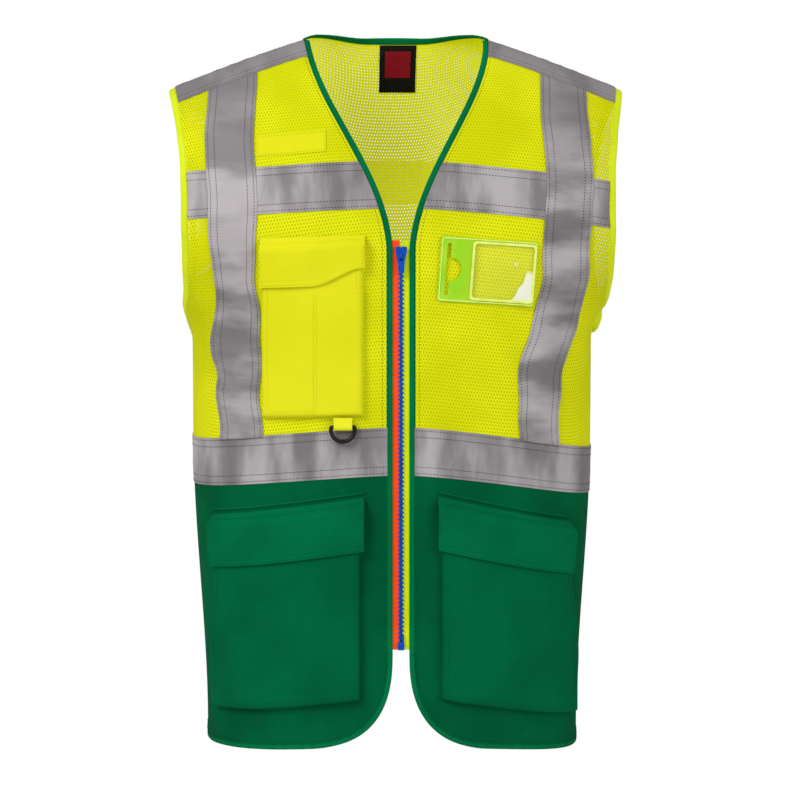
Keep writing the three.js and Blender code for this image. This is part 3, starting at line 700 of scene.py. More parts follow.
# the tape's real pale reverse; its glow is painted light that lifts the shade it lies in
TAPE_REVERSE = woven("tape's pale reverse", (236, 230, 190), (226, 220, 176), glow=0.3)
FLAP_GREEN = woven("green flap twill", (0, 110, 67), (0, 98, 59), shine=0.03)
PALE_VINYL = plastic("pale vinyl", (232, 244, 130), (214, 234, 92), 0.2, coat=0.5)
THREADS = {
    "grey": (woven("grey thread", (68, 52, 50), (50, 40, 39), 0.0005), "reflective_tape"),
    "yellow": (
        woven("yellow thread", (206, 208, 30), (190, 192, 18), 0.0005, glow=0.08),
        "yellow_cloth",
    ),
    "brown": (woven("olive thread", (150, 138, 20), (132, 120, 14), 0.0005), "mesh"),
    "green": (woven("green thread", (2, 84, 52), (0, 72, 44), 0.0005), "skirt"),
}


# ---- Panels and bindings -----------------------------------------------------------------------

HEM, SKIRT_HEIGHT = 14, 300  # the skirt's turned hem, and about how high the skirt is
HEM_EXTRA = 0.7


def hem_lift(u, v):
    """The skirt's outer face, a little thicker over its turned hem."""
    return PANEL[1] + HEM_EXTRA * smooth((v * SKIRT_HEIGHT - (SKIRT_HEIGHT - HEM)) / 2)


def add_panels():
    skirt_lifts = (PANEL[0], hem_lift)
    for name, side in SIDES.items():
        cloth(name + "_front_mesh_panel", front_mesh(side), cells_of(215, 470), PANEL, "mesh")
        cells = cells_of(240, 290)
        cloth(name + "_front_skirt_panel", front_skirt(side), cells, skirt_lifts, "skirt")
        for row in (0.955, 0.975):
            sew("green", front_skirt(side), np.linspace(0, 1, 120), row, hem_lift)
    cloth("back_mesh_panel", back_mesh, cells_of(470, 470), PANEL, "mesh", material=BACK_MESH)
    cloth("back_skirt_panel", back_skirt, cells_of(520, 270), skirt_lifts, "skirt")
    sew("green", back_skirt, np.linspace(0, 1, 240), 0.96, hem_lift)


def join_places(*places):
    """Several (face, x, z) runs as one list of points and out directions."""
    points = np.concatenate([on_skin(place, 0) for place in places])
    normals = np.concatenate([skin_normal(*place) for place in places])
    return points, normals


SOFTENING = {True: 12, False: 4}  # passes for a closed run and an open one


def even_run(edge, step, closed):
    """The same run with its points evenly spaced and its turns softened."""
    points, normals = (np.concatenate([part, part[:1]]) if closed else part for part in edge)
    run = run_length(points)
    at = np.linspace(0, run[-1], round(run[-1] / step) + 1)
    at = at[:-1] if closed else at
    parts = [read_along(at, run, part) for part in (points, normals)]
    for part in parts:
        for _ in range(SOFTENING[closed]):
            soft = (np.roll(part, 1, axis=0) + 2 * part + np.roll(part, -1, axis=0)) / 4
            if not closed:
                soft[0], soft[-1] = part[0], part[-1]
            part[:] = soft
    return parts[0], unit(parts[1])


BINDING_STEP, BINDING_SIDES = 3.0, 14
SQUARENESS = 0.7  # 1 is an oval roll, less is a flatter one


def flattened(share):
    return np.sign(share) * abs(share) ** SQUARENESS


def binding(name, edge, toward, slot, closed=False, width=BINDING_WIDTH):
    """Tape folded over an edge: a soft, flattened roll just beyond it."""
    points, normals = even_run(edge, BINDING_STEP, closed)
    across = toward * unit(np.cross(normals, ahead_along(points, closed)))
    corner = smooth((ZIP_BOTTOM_Z + 20 - points[:, 2]) / 10) * smooth((np.abs(points[:, 0]) - 16) / 60)
    beyond = (width / 2 - 1) * (1 - 2 * corner)  # the roll moves onto the cloth round the skirt's corner
    middle = points + across * beyond[:, None] + normals * (PANEL[1] / 2)
    run = run_length(middle)
    pucker = 1 + 0.1 * np.sin(run / 1.9) * np.sin(run / 11)
    to_end = clamp(np.minimum(run, run[-1] - run) / 4)
    taper = 1.0 if closed else np.maximum(0.3, np.sqrt(1 - (1 - to_end) ** 2))
    lines, uvs = [], []
    for k in range(BINDING_SIDES):
        turn = 2 * np.pi * k / BINDING_SIDES
        wide = flattened(np.cos(turn)) * width / 2
        sideways = wide * taper * np.ones_like(run)
        outward = flattened(np.sin(turn)) * BINDING_THICK / 2 * pucker
        lines.append(middle + across * sideways[:, None] + normals * outward[:, None])
        uvs.append(np.stack([np.full(len(run), wide), run], axis=-1))
    faces = loft_faces(len(middle), BINDING_SIDES, closed)
    if toward < 0:
        faces = [face[::-1] for face in faces]
    points = np.stack(lines, axis=1).reshape(-1, 3)
    uvs = np.stack(uvs, axis=1).reshape(-1, 2)
    finish_piece(mesh_object(name + "_cloth", points, faces, MATERIALS[slot], uvs), slot)
    inner = middle - across * (width / 2 - 1.4) + normals * (BINDING_THICK / 2 - 0.1)
    stitch("green" if slot == "green_binding" else "yellow", inner, normals)


def add_bindings():
    rows = np.linspace(0, 1, 161)
    for name, side in SIDES.items():
        mesh, skirt = front_mesh(side), front_skirt(side)
        upper = mesh(np.zeros_like(rows), rows)
        lower = skirt(np.zeros_like(rows[1:]), rows[1:])
        binding(name + "_front_binding", join_places(upper, lower), -side, "green_binding")
        end = skirt(np.zeros(5), np.linspace(0.95, 1, 5))
        hem = skirt(np.linspace(0, 0.95, 161)[1:], np.ones(160))
        binding(name + "_hem_binding", join_places(end, hem), -side, "green_binding")
        sew("brown", mesh, 0.016, rows, PANEL[1])
        arm = rows[rows <= ARM_SHARE]
        front = mesh(np.ones_like(arm), arm)
        back = back_mesh(np.full(len(arm) - 2, 1.0 if side == LEFT else 0.0), arm[1:-1][::-1])
        around = join_places(front, back)
        binding(name + "_armhole_binding", around, side, "lime_binding", True, ARM_BINDING_WIDTH)
        sew("yellow", mesh, 0.975, arm, PANEL[1])
    across = np.linspace(0.297, 0.703, 81)
    nape = join_places(back_mesh(across, np.zeros_like(across)))
    binding("back_neck_binding", nape, -1, "green_binding", width=NAPE_BINDING)


# ---- Reflective tape ---------------------------------------------------------------------------


def crease(u, v, across, down):
    """Small dents and ridges that only the stiff tape shows."""
    return 0.35 * waves(u * across, v * down, 17, 0.8) + 0.25 * waves(v * down, u * across, 31, 2.2)


def brace(side):
    """An upright tape that swings inwards on its way down and narrows where the cloth folds."""
    def place(u, v):
        swing = lambda z: (BRACE_LEAN if side == LEFT else 5) * smooth((-190 - z) / 150)
        waver = lambda z: 1.6 * np.sin(z / 21 + side) + 1.1 * np.sin(z / 9.5) * smooth((-150 - z) / 90)
        top = lambda x: shoulder_line(x) - SHOULDER_TAPE_DROP - 0.5
        height = lambda x: mix(top(x), waist_tape_top(x) - 2, v)
        taper = lambda z: TAPE - 8 * smooth((-290 - z) / 90)
        if side == RIGHT:
            taper = lambda z: TAPE - 8 * np.exp(-(((z + 225) / 35) ** 2)) - 6 * smooth((-300 - z) / 30)
        width = lambda z: BRACE_X + u * taper(z) - swing(z) + waver(z)
        return (FRONT, *settle(side, height, width))
    return place


def back_brace(side):
    def place(u, v):
        height = lambda x: mix(shoulder_line(x) - 0.8, waist_tape_top(x) - 2, v**1.2)
        width = lambda z: BRACE_X + u * TAPE - 6 * v + 1.4 * np.sin(z / 24)
        return (BACK, *settle(side, height, width))
    return place


def tape(name, place, size, lifts, rows_along_u):
    """A tape with stitched edges. size is its width and length in u and v."""
    outer = lambda u, v: lifts[1] + np.maximum(0, crease(u, v, *size))
    inner = lambda u, v: outer(u, v) - TAPE_THICK
    material = None if rows_along_u else UPRIGHT_TAPE
    cells = cells_of(*size, TAPE_CELL, TAPE_CELL)
    cloth(name, place, cells, (inner, outer), "reflective_tape", material=material)
    long = np.linspace(0, 1, round(max(size) / 2))
    for offset in STITCH_ROWS:
        for share in (offset / TAPE, 1 - offset / TAPE):
            u, v = (long, share) if rows_along_u else (share, long)
            sew("grey", place, u, v, outer)


def add_tapes():
    for name, side in SIDES.items():
        across = lambda u, edge: lambda z: mix(neck_edge(z) + TAPE_INSET, edge(z) - TAPE_INSET, u)
        arm_side = lambda z: outer_edge(side, z)
        waist_width = lambda u: lambda z: mix(FRONT_EDGE_X, half_width(side, z), spread(u))
        chest_line = lambda v: lambda x: chest_tape_top(x) - v * CHEST_TAPE
        waist_line = lambda v: lambda x: waist_tape_top(x) - v * TAPE
        shoulder_row = lambda v: lambda x: shoulder_line(x) - v**1.6 * SHOULDER_TAPE_DROP
        chest = lambda u, v: (FRONT, *settle(side, chest_line(v), across(u, arm_side)))
        waist = lambda u, v: (FRONT, *settle(side, waist_line(v), waist_width(u)))
        shoulder = lambda u, v: (FRONT, *settle(side, shoulder_row(v), across(u, arm_edge)))
        tape(name + "_chest_tape", chest, (185, CHEST_TAPE), UNDER_TAPE, True)
        tape(name + "_waist_tape", waist, (245, TAPE), UNDER_TAPE, True)
        tape(name + "_shoulder_tape", shoulder, (146, TAPE), UNDER_TAPE, True)
        tape(name + "_front_brace_tape", brace(side), (TAPE, 380), OVER_TAPE, False)
        tape(name + "_back_brace_tape", back_brace(side), (TAPE, 420), OVER_TAPE, False)

    def back_band(top, height, width):
        def place(u, v):
            side, out = np.where(u < 0.5, RIGHT, LEFT), np.abs(2 * u - 1)
            return (BACK, *settle(side, lambda x: top(x) - v * height, lambda z: width(side, z, out)))
        return place
    chest_width = lambda side, z, out: (outer_edge(side, z) - TAPE_INSET) * out
    chest = back_band(chest_tape_top, CHEST_TAPE, chest_width)
    tape("back_chest_tape", chest, (480, CHEST_TAPE), UNDER_TAPE, True)
    # the tape's pale reverse, seen through the back mesh's holes, with a painted glow
    name = "back_chest_tape_reverse"
    cloth(name, chest, (120, 12), TAPE_BEHIND, "reflective_tape", material=TAPE_REVERSE)
    waist = back_band(waist_tape_top, TAPE, lambda side, z, out: half_width(side, z) * spread(out))
    tape("back_waist_tape", waist, (530, TAPE), UNDER_TAPE, True)


# ---- Zip ---------------------------------------------------------------------------------------

ZIP_Y = -DEPTH - 0.4
TEETH_PITCH = 4.6
TOOTH = (2.0, 1.5, 1.1)  # half sizes
SLIDER_TOP = ZIP_TOP_Z - 4.4
ZIP_TAPE_START, ZIP_TAPE_WIDTH, ZIP_TAPE_THICK = 1.5, 14.6, 0.7
PULL_BAR, PULL_LIFT = 5.5, -4.7  # below the slider's top, and in front of the teeth
HOLLOW_Z = -12.6  # the middle of the pull's hollow, below its bar
ZIP_TAPE_SLOTS = {"right": "orange_zip_tape", "left": "lime_zip_tape"}


def rounded_block(centre, half, power=0.45, rings=6, sides=12):
    """Points and faces of a soft-cornered block."""
    down = np.linspace(0, np.pi, rings + 1)[:, None]
    turn = (np.arange(sides) * 2 * np.pi / sides)[None]
    soft = lambda value: np.sign(value) * np.abs(value) ** power
    x = soft(np.sin(down)) * soft(np.cos(turn))
    y = soft(np.sin(down)) * soft(np.sin(turn))
    z = soft(np.cos(down)) * np.ones_like(turn)
    points = np.stack([x, y, z], axis=-1).reshape(-1, 3) * np.array(half) + np.array(centre)
    faces = []
    for j in range(rings):
        for i in range(sides):
            a, b = j * sides + i, j * sides + (i + 1) % sides
            faces.append([a, a + sides, b + sides, b])
    return points, faces


def merged(name, blocks, slot, body="vest_body", replaced=None):
    points, faces, count = [], [], 0
    for block_points, block_faces in blocks:
        points.append(block_points)
        faces += [[index + count for index in face] for face in block_faces]
        count += len(block_points)
    points = np.concatenate(points)
    uvs = points[:, [0, 2]]
    obj = mesh_object(name, points, faces, MATERIALS[slot], uvs)
    return finish_piece(obj, slot, body, replaced)


def plate(name, outlines, thick, slot, place, body="vest_body", bevel=0.3, replaced=None, material=None):
    """A flat piece with bevelled edges: the first outline is its shape and the others are its holes.
    place turns the outline's x, height and depth into the vest's frame."""
    curve = bpy.data.curves.new(name, "CURVE")
    curve.dimensions, curve.fill_mode = "2D", "BOTH"
    curve.extrude, curve.bevel_depth = (thick / 2 - bevel) * MM, bevel * MM
    curve.bevel_resolution, curve.offset = 2, -bevel * MM
    for outline in outlines:
        line = curve.splines.new("POLY")
        line.points.add(len(outline) - 1)
        for point, (x, z) in zip(line.points, outline):
            point.co = (x * MM, z * MM, 0, 1)
        line.use_cyclic_u = True
    shape = add_object(name + "_outline", curve)
    seen = shape.evaluated_get(bpy.context.evaluated_depsgraph_get())
    data = bpy.data.meshes.new_from_object(seen)
    bpy.data.objects.remove(shape)
    layer = data.uv_layers.new(name="cloth")
    for loop in data.loops:
        layer.data[loop.index].uv = data.vertices[loop.vertex_index].co.xy
    data.transform(place)
    data.materials.clear()
    data.materials.append(material or MATERIALS[slot])
    return finish_piece(add_object(name, data), slot, body, replaced)


def upright(x, y, z):
    """Stands an outline up, facing -Y, with its origin at a point in millimetres."""
    return Matrix.Translation(Vector((x, y, z)) * MM) @ Matrix.Rotation(np.pi / 2, 4, "X")


def arc(centre, radius, start, end, count=10):
    turns = np.radians(np.linspace(start, end, count))
    return [(centre[0] + radius * np.cos(t), centre[1] + radius * np.sin(t)) for t in turns]


def rounded(x, z, width, height, radius):
    """A rectangle with round corners, about its middle."""
    w, h = width / 2 - radius, height / 2 - radius
    corners = [((x + w, z + h), 0), ((x - w, z + h), 90), ((x - w, z - h), 180), ((x + w, z - h), 270)]
    return [point for centre, start in corners for point in arc(centre, radius, start, start + 90, 6)]


def add_zip():
    top, low = SLIDER_TOP - 1, ZIP_BOTTOM_Z + 9
    for name, side in SIDES.items():
        start = top if side == RIGHT else top - TEETH_PITCH / 2
        heights = np.arange(start, low, -TEETH_PITCH)
        teeth = [rounded_block((side * 1.2, ZIP_Y, z), TOOTH) for z in heights]
        core = (0.65, 0.9, (top - low) / 2)
        teeth.append(rounded_block((side * 0.75, ZIP_Y + 0.7, (top + low) / 2), core, 0.3))
        merged(name + "_zip_chain_teeth", teeth, "blue_zip", replaced=name + "_zip_chain")
        stop = rounded_block((side * 1.9, ZIP_Y, ZIP_TOP_Z - 2), (1.2, 1.7, 2))
        merged(name + "_zip_top_stop_metal", [stop], "blue_zip", replaced=name + "_zip_top_stop")
        zip_tape(name + "_zip_tape", side, ZIP_TAPE_SLOTS[name])
    pin = rounded_block((1.9, ZIP_Y - 0.4, ZIP_BOTTOM_Z + 12), (1.3, 1.7, 3.6))
    merged("zip_insertion_pin_metal", [pin], "blue_zip", replaced="zip_insertion_pin")
    box = rounded_block((0, ZIP_Y - 1, ZIP_BOTTOM_Z + 4.4), (3.6, 2, 4.6), 0.3)
    merged("zip_retainer_box_metal", [box], "blue_zip", replaced="zip_retainer_box")
    add_slider()


def zip_tape(name, side, slot):
    """A straight woven strip with a rib beside the teeth."""
    u, v = np.meshgrid(grid_lines(14, 0.02), grid_lines(140, 0.001))
    height = mix(ZIP_TOP_Z + 6, ZIP_BOTTOM_Z, v)
    x = side * (ZIP_TAPE_START + ZIP_TAPE_WIDTH * u)
    front = np.stack([x, ZIP_Y + 1.1 + 0 * u, height], -1)
    behind = front + np.array([0, ZIP_TAPE_THICK, 0])
    front[..., 1] -= 0.25 * np.sin(u * 26) + 0.5 * smooth((0.16 - u) / 0.08)
    faces = shell_faces(*u.shape)
    if side == LEFT:
        faces = faces[:, ::-1]
    points = np.concatenate([front.reshape(-1, 3), behind.reshape(-1, 3)])
    uvs = points[:, [0, 2]]
    finish_piece(mesh_object(name + "_cloth", points, faces.tolist(), MATERIALS[slot], uvs), slot)


def add_slider():
    def part(name, outlines, thick, lift, height, body, bevel, node):
        place = upright(0, ZIP_Y + lift, height)
        plate(name, outlines, thick, "blue_zip", place, body, bevel, node)
    top, bar = SLIDER_TOP, SLIDER_TOP - PULL_BAR
    wings = [(-3.4, -14), (3.4, -14), (4.3, -8), (5.8, -1.5), (6.0, 3.4), (5.2, 4.4), (1.2, 3.6)]
    wings += [(-x, z) for x, z in wings[:1:-1]]
    part("zip_slider_front", [wings], 1.3, -2.6, top, "zip_slider", 0.4, "zip_slider_body")
    part("zip_slider_back", [wings], 1.2, 2.6, top, "zip_slider", 0.4, "zip_slider_body")
    turns = np.linspace(0, np.pi, 13)
    crown = [(0, ZIP_Y - 3 - 2.6 * np.sin(t), bar - 2.6 * np.cos(t)) for t in turns]
    bridge = tube("zip_slider_crown", crown, 1.05, 10, False, "blue_zip", "zip_slider", up=(1, 0, 0))
    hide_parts("zip_slider_body")
    tab = [(-4.0, 0.4)] + arc((0, -15.2), 3.1, 180, 360, 14) + [(4.0, 0.4)]
    window = [(-1.5, -0.8), (1.5, -0.8), (1.6, -5.0), (-1.6, -5.0)]
    shape = [tab, window, rounded(0, HOLLOW_Z, 3.2, 6.4, 1.5)]
    part("zip_pull_tab_metal", shape, 1.3, PULL_LIFT, bar, "zip_pull", 0.35, "zip_pull_tab")
    grip = [rounded(0, HOLLOW_Z, 3.4, 6.6, 1.6)]
    part("zip_pull_tab_grip", grip, 0.7, PULL_LIFT, bar, "zip_pull", 0.2, "zip_pull_tab")


# ---- Pockets -----------------------------------------------------------------------------------

# lift is how far a pouch stands off, mouth how far its top is below its flap's, flap its flap's height
CHEST_POCKET = {"near": 38, "far": 142, "top": -176, "bottom": -362}
CHEST_POCKET |= {"lift": 9.5, "mouth": 11, "flap": 48}
SKIRT_POCKET = {"near": 42, "top": -441, "bottom": -660, "lift": 11, "mouth": 17, "flap": 55}
WELT = 3.2
EDGE_ROUND = 5
FLAP_OVER = 2.2  # height of a strip below a flap's top edge
BEND = 9  # height of the strip over which a flap bends
POUCH_THICK, FLAP_THICK, FLAP_HEM_THICK = 0.7, 0.95, 0.35
SEAM_INSET = 2.5  # from a pouch's rounded edge to its stitches
FLAP_ROWS = (2, 6.5)  # from a flap's lower edge to its two rows of stitches
FLAP_SIDE_ROW, FLAP_TOP_ROW = 2, 5.5
PATCH_SPAN = (0.2, 0.8)  # the hook and loop patches, as shares of a pouch's width


def patch(side, near, far, top, bottom):
    """A piece of the front between two distances from its middle and two height lines."""
    def place(u, v):
        height = lambda x: mix(top(x), bottom(x), v)
        return (FRONT, *settle(side, height, lambda z: mix(near, far(z), u)))
    return place


def rim_distance(u, v, size):
    """How far a spot of a pouch or flap is from its sides and its lower edge."""
    return np.minimum(np.minimum(u, 1 - u) * size[0], (1 - v) * size[1])


def pouch_lift(size, lift, sag_share=0.16):
    """The front of a pocket: rises from its sewn edges and slumps a little over its middle."""
    def at(u, v):
        rise = np.sqrt(1 - (1 - clamp(rim_distance(u, v, size) / EDGE_ROUND)) ** 2)
        slump = sag_share * np.sin(np.pi * u) * np.sin(np.pi * clamp(v)) ** 0.8
        across, down = u * size[0] + 0.7 * v * size[1], v * size[1] - 0.5 * u * size[0]
        rumple = 0.75 * waves(across, down, 78, 1.1) * rise * smooth(v / 0.3)
        return POUCH_THICK + (lift - POUCH_THICK) * rise * (1 - slump) + rumple
    return at


def add_pouch(name, place, size, lift, slot, thread):
    outer = pouch_lift(size, lift)
    inner = lambda u, v: np.maximum(PANEL[1] + 0.02, outer(u, v) - POUCH_THICK)
    cloth(name, place, cells_of(*size, 3, 3.4), (inner, outer), slot, edge=0.006)
    from_edge = EDGE_ROUND + SEAM_INSET
    inset, low = from_edge / size[0], 1 - from_edge / size[1]
    for u in (inset, 1 - inset):
        sew(thread, place, u, np.linspace(0.04, low, 90), outer)
    sew(thread, place, np.linspace(inset, 1 - inset, 90), low, outer)
    return outer


def flap_lift(lift, height):
    """A flap leaves the vest at its top edge, lies over the pouch and sags back at its lower edge."""
    def at(u, v):
        rise = mix(1.5, lift, smooth(v * height / 12)) - 0.9 * smooth((v - 0.45) / 0.55)
        roll = 1.2 * smooth((np.abs(2 * u - 1) - 0.93) / 0.07) * smooth(v * height / 20)
        return rise - roll + 0.4 * waves(u * 150, v * height, 70, 2.6) * smooth(v * height / 20)
    return at


def add_flap(name, body, place, size, lift, slot, thread, material=None):
    lower = flap_lift(lift, size[1])
    hem = lambda u, v: FLAP_HEM_THICK * (1 - smooth(rim_distance(u, v, size) / 7 * 2 - 1))
    upper = lambda u, v: lower(u, v) + FLAP_THICK + hem(u, v)
    cells = cells_of(*size, 3, 2.4)
    obj = cloth(name, place, cells, (lower, upper), slot, body, 0.006, material)
    across, down = np.linspace(0.02, 0.98, 90), np.linspace(0.3, 0.93, 40)
    side = FLAP_SIDE_ROW / size[0]
    rows = [(across, 1 - row / size[1]) for row in FLAP_ROWS] + [(side, down), (1 - side, down)]
    for u, v in rows + [(across, FLAP_TOP_ROW / size[1])]:
        sew(thread, place, u, v, upper, body)
    return obj


def bend_flap(obj, place, height):
    """Frees the flap from its body and bakes its place into its mesh."""
    start = on_skin(place(np.array(0.5), np.array(0.0)), 2.0)
    end = on_skin(place(np.array(0.5), np.array(BEND / height)), 6.0)
    obj.parent = None
    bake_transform(obj)


def closure(name, place, rows, lift, body):
    """The loop patch on a pouch and the hook patch under its flap."""
    strip = lambda u, v: place(mix(*PATCH_SPAN, u), mix(*rows, v))
    cloth(name + "_loop_patch", strip, (40, 6), (lift - 0.5, lift + 0.1), "hook_and_loop", edge=0.01)
    cloth(name + "_hook_patch", strip, (40, 6), (lift + 0.3, lift + 0.9), "hook_and_loop", body, 0.01)


def add_chest_pocket():
    near, far, top, bottom, lift, mouth, height = CHEST_POCKET.values()
    line = lambda z: lambda x: z - sag(x, 9)
    body = patch(RIGHT, near, lambda z: far, line(top - mouth), line(bottom))
    size = (far - near, top - mouth - bottom)
    front = add_pouch("chest_pocket_pouch", body, size, lift, "yellow_cloth", "yellow")
    flap_low = lambda x: top - 33 - 18 * smooth((np.abs(x) - near) / 54) - sag(x, 6)
    flap = patch(RIGHT, near - 1, lambda z: far + 1, line(top), flap_low)
    size = (far - near + 2, height)
    name, over = "chest_pocket_flap", lift + FLAP_OVER
    made = add_flap(name, "chest_flap", flap, size, over, "yellow_cloth", "yellow")
    closure("chest_pocket", body, (0.05, 0.12), lift, "chest_flap")
    phone = patch(RIGHT, near + 1, lambda z: 88, lambda x: -226 - 0.12 * np.abs(x), line(bottom + 1))
    share = lambda x: (x + near) / (near - far)
    on_pouch = lambda u, v: front(share(phone(u, v)[1]), mix(0.25, 0.995, v)) + 0.15
    seam = lambda u, v: 0.7 + 0.35 * smooth((u - 0.88) / 0.04) + 0.4 * smooth((0.05 - v) / 0.02)
    upper = lambda u, v: on_pouch(u, v) + seam(u, v)
    cloth("chest_phone_patch", phone, (18, 46), (on_pouch, upper), "yellow_cloth", edge=0.01)
    sew("yellow", phone, 0.95, np.linspace(0, 1, 70), upper)
    return made, flap


# How far the flap reaches, as a share of the vest's half width, and how the pocket's lines slope.
SKIRT_SIDES = {
    "right": {"end": 0.9, "slope": 0.15, "low_slope": 0.12},
    "left": {"end": 0.87, "slope": 0.235, "low_slope": 0.2},
}
POUCH_LOW_END = 0.945  # how far a pouch reaches at its lower edge
HINGE_DROP, FLAP_OUT = 6, 4  # the flap's fold below the welt, and how far it starts before the pouch


def skirt_line(slope, z):
    """A skirt pocket's line that starts at height z and drops towards the side."""
    return lambda x: z - slope * (np.abs(x) - SKIRT_POCKET["near"])


def add_skirt_pockets():
    near, top, bottom, lift, mouth, height = SKIRT_POCKET.values()
    hinge = top - HINGE_DROP
    flaps = {}
    for name, side in SIDES.items():
        end, slope, low_slope = SKIRT_SIDES[name].values()
        flap_far = lambda z: end * half_width(side, z)
        pouch_end = lambda z: mix(end - 0.01, POUCH_LOW_END, smooth((-500 - z) / 140))
        pouch_far = lambda z: pouch_end(z) * half_width(side, z)
        low = lambda x: bottom - low_slope * (np.abs(x) - near)
        line = lambda z: skirt_line(slope, z)
        body = patch(side, near, pouch_far, line(hinge - mouth), low)
        add_pouch(name + "_pocket_pouch", body, (190, 200), lift, "green_cloth", "green")
        cover = patch(side, near - FLAP_OUT, flap_far, line(hinge), line(hinge - height))
        looks = ((195, height), lift + FLAP_OVER, "green_cloth", "green", FLAP_GREEN)
        made = add_flap(name + "_pocket_flap", name + "_flap", cover, *looks)
        welt = patch(side, near - FLAP_OUT, flap_far, line(top), line(top - WELT))
        raised = lambda u, v: 1.1 + 1.3 * np.sin(np.pi * v)
        cloth(name + "_pocket_welt", welt, (60, 4), (0.7, raised), "green_cloth", edge=0.01)
        closure(name + "_pocket", body, (0.04, 0.11), lift, name + "_flap")
        flaps[name] = (made, cover)
    return flaps


# ---- Fittings ----------------------------------------------------------------------------------


def add_name_strip():
    place = lambda u, v: (FRONT, mix(-147, -76, u), mix(-70, -92, v) - 5 * (1 - u))
    rim = (0.02, 0.98)
    across, down = np.linspace(*rim, 40), np.linspace(0.08, 0.92, 14)
    cloth("name_strip", place, (28, 10), (0.8, 1.5), "yellow_cloth", edge=0.01)
    for u, v in [(across, 0.08), (across, 0.92)] + [(share, down) for share in rim]:
        sew("yellow", place, u, v, 1.5)


def add_neck_label():
    place = lambda u, v: (BACK, mix(-15, 25, u), mix(24, -26, v))
    cloth("neck_label", place, (16, 20), (-1.2, -0.5), "label_cloth", edge=0.01)
    emblem = lambda u, v: (BACK, mix(-9, 19, u), mix(18, -10, v))
    cloth("neck_label_emblem", emblem, (12, 12), (-1.6, -1.25), "label_emblem", edge=0.01)


RING = {"x": -60, "z": -373, "out": 124, "half": 12.4, "drop": 15, "stock": 2.1}
WEBBING = {"half_width": 9.5, "height": 9.5, "half_thick": 0.45, "clear": 1.0}


def add_ring():
    x, z, out, half, drop, stock = RING.values()
    turns = np.linspace(0, np.pi, 40)
    loop = [(x - half * np.cos(t), -out, z - drop * np.sin(t) ** 0.8) for t in turns]
    loop += [(x + share * half, -out, z) for share in (0.7, 0.35, 0, -0.35, -0.7)]
    tube("d_ring_smooth", loop, stock, 16, True, "black_ring", "ring")
    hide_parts("d_ring")
    add_webbing(x, z, out, stock)


def add_webbing(x, z, out, stock):
    """A band that comes down, turns round the ring's straight side and goes up again."""
    half_width, height, half_thick, clear = WEBBING.values()
    reach = stock + clear
    turns = np.linspace(-0.15 * np.pi, np.pi, 16)
    outline = [(-reach * np.cos(t), -reach * np.sin(t)) for t in turns]
    outline = np.array([(-reach, height), *outline, (reach - 0.4, height)])
    columns = np.linspace(-half_width, half_width, 20)
    along = np.gradient(outline, axis=0)
    normals = unit(np.stack([along[:, 1], -along[:, 0]], axis=-1))
    points, uvs = [], []
    for face_side in (half_thick, -half_thick):
        for (y, up), (out_y, out_z) in zip(outline, normals):
            for column in columns:
                rib = face_side * (1 + 0.25 * np.sin(column * 2.2))
                points.append((x + column, -out + y + out_y * rib, z + up + out_z * rib))
                uvs.append((column, up + y))
    faces = shell_faces(len(outline), len(columns)).tolist()
    obj = mesh_object("d_ring_webbing_cloth", points, faces, MATERIALS["yellow_webbing"], uvs)
    finish_piece(obj, "yellow_webbing")


BADGE = {"x": 89, "z": -214, "width": 101, "height": 67, "thick": 1.2, "tilt": -4, "window_x": 16}


def add_badge_holder():
    x, z, width, height, thick, tilt, window_x = BADGE.values()
    spot = (FRONT, np.array(float(x)), np.array(float(z)))
    normal = Vector(skin_normal(*spot))
    along = Vector((0, 0, 1)).cross(normal).normalized()
    turn = Matrix((along, normal.cross(along), normal)).transposed().to_4x4()
    turn = turn @ Matrix.Rotation(np.radians(tilt), 4, "Z")
    base = Vector(on_skin(spot, 1.3)) * MM

    def part(name, outlines, deep, slot, lift, node, bevel=0.3, material=None):
        place = Matrix.Translation(base + normal * lift * MM) @ turn
        plate(name, outlines, deep, slot, place, bevel=bevel, replaced=node, material=material)
    left = -width / 2
    tall, bite = height / 2 - 7, 12
    slit = [(left + 11, -tall), (left + 7, -tall), (left + 7, tall), (left + 11, tall)]
    slit += arc((left + 11, 0), bite, 90, -90, 14)
    window = lambda wide, tall, round_by: rounded(window_x, 0, wide, tall, round_by)
    outside = lambda inset, round_by: rounded(0, 0, width - inset, height - inset, round_by)
    frame_node, window_node = "badge_holder_frame", "badge_holder_window"
    shape = [outside(0, 3), slit, window(62, height - 12, 3)]
    part("badge_holder_frame_vinyl", shape, thick, "badge_vinyl", thick / 2, frame_node)
    pane = [window(64, height - 8, 3)]
    part("badge_holder_window_film", pane, 0.6, "clear_film", thick + 0.45, window_node, 0.1)
    border = [window(67, height - 6, 4), window(61.5, height - 11.5, 3)]
    lift = thick + 0.9
    part("badge_window_border", border, 1.6, "clear_film", lift, window_node, 0.6, PALE_VINYL)
    weld = [outside(2, 3), outside(4.4, 2)]
    lift = thick + 0.2
    part("badge_weld_line", weld, 0.8, "badge_vinyl", lift, frame_node, material=PALE_VINYL)


# ---- The vest ----------------------------------------------------------------------------------

add_panels()
add_bindings()
add_tapes()
add_zip()
chest_flap, chest_place = add_chest_pocket()
skirt_flaps = add_skirt_pockets()
add_name_strip()
add_neck_label()
add_ring()
add_badge_holder()
build_stitches(THREADS)
bend_flap(chest_flap, chest_place, CHEST_POCKET["flap"])
for name, (flap, place) in skirt_flaps.items():
    bend_flap(flap, place, SKIRT_POCKET["flap"])


# ---- Studio ------------------------------------------------------------------------------------


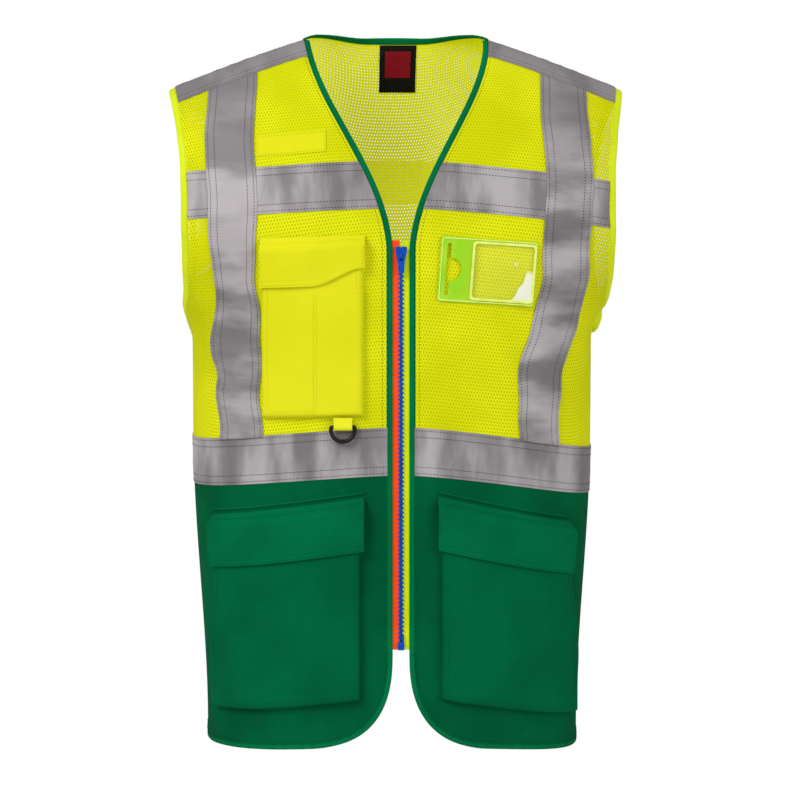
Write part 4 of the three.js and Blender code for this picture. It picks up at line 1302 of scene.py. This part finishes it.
# Metres.
FLOOR_Z, FLOOR_HALF = -1.42, 1.5
MIDDLE_Z = -0.35
SOFT_LIGHT = 0.5  # how strongly the world lights the vest; the camera sees it white
CAMERA_PLACE, CAMERA_AIM = Vector((-0.109, -2.498, -0.100)), Vector((0.0043, 0, -0.358))
LENS, SENSOR = 104.8, 36  # millimetres


def look_at(obj, place, aim):
    obj.location = place
    obj.rotation_euler = (aim - place).to_track_quat("-Z", "Y").to_euler()


def add_light(name, place, power, size):
    light = bpy.data.lights.new(name, "AREA")
    light.energy, light.shape = power, "RECTANGLE"
    light.size, light.size_y = size
    look_at(add_object(name, light), Vector(place), Vector((0, 0, MIDDLE_Z)))


def build_studio():
    scene = bpy.context.scene
    scene.view_settings.view_transform = "Standard"
    world = bpy.data.worlds.new("studio")
    scene.world = world
    world.use_nodes = True
    nodes, links = world.node_tree.nodes, world.node_tree.links
    soft, white = nodes["Background"], nodes.new("ShaderNodeBackground")
    for background, strength in ((soft, SOFT_LIGHT), (white, 1.0)):
        background.inputs["Color"].default_value = (1, 1, 1, 1)
        background.inputs["Strength"].default_value = strength
    seen, choice = nodes.new("ShaderNodeLightPath"), nodes.new("ShaderNodeMixShader")
    links.new(seen.outputs["Is Camera Ray"], choice.inputs[0])
    links.new(soft.outputs[0], choice.inputs[1])
    links.new(white.outputs[0], choice.inputs[2])
    links.new(choice.outputs[0], nodes["World Output"].inputs["Surface"])
    add_light("key", (-1.9, -2.1, 1.5), 64, (1.4, 1.4))
    add_light("fill", (1.9, -2.4, 0.5), 26, (1.6, 1.6))
    floor = bpy.data.meshes.new("floor")
    shares = [(-1, -1), (1, -1), (1, 1), (-1, 1)]
    corners = [(x * FLOOR_HALF, y * FLOOR_HALF, FLOOR_Z) for x, y in shares]
    floor.from_pydata(corners, [], [(0, 1, 2, 3)])
    paint = Paint("pale floor", 0.9)
    paint.colour(paint.blend(paint.noise(3.0), linear(236, 236, 236), linear(244, 244, 244)))
    floor.materials.append(paint.material)
    obj = add_object("floor", floor)


def build_camera():
    data = bpy.data.cameras.new("camera")
    data.sensor_width, data.lens = SENSOR, LENS
    camera = add_object("camera", data)
    look_at(camera, CAMERA_PLACE, CAMERA_AIM)
    bpy.context.scene.camera = camera


build_studio()
build_camera()
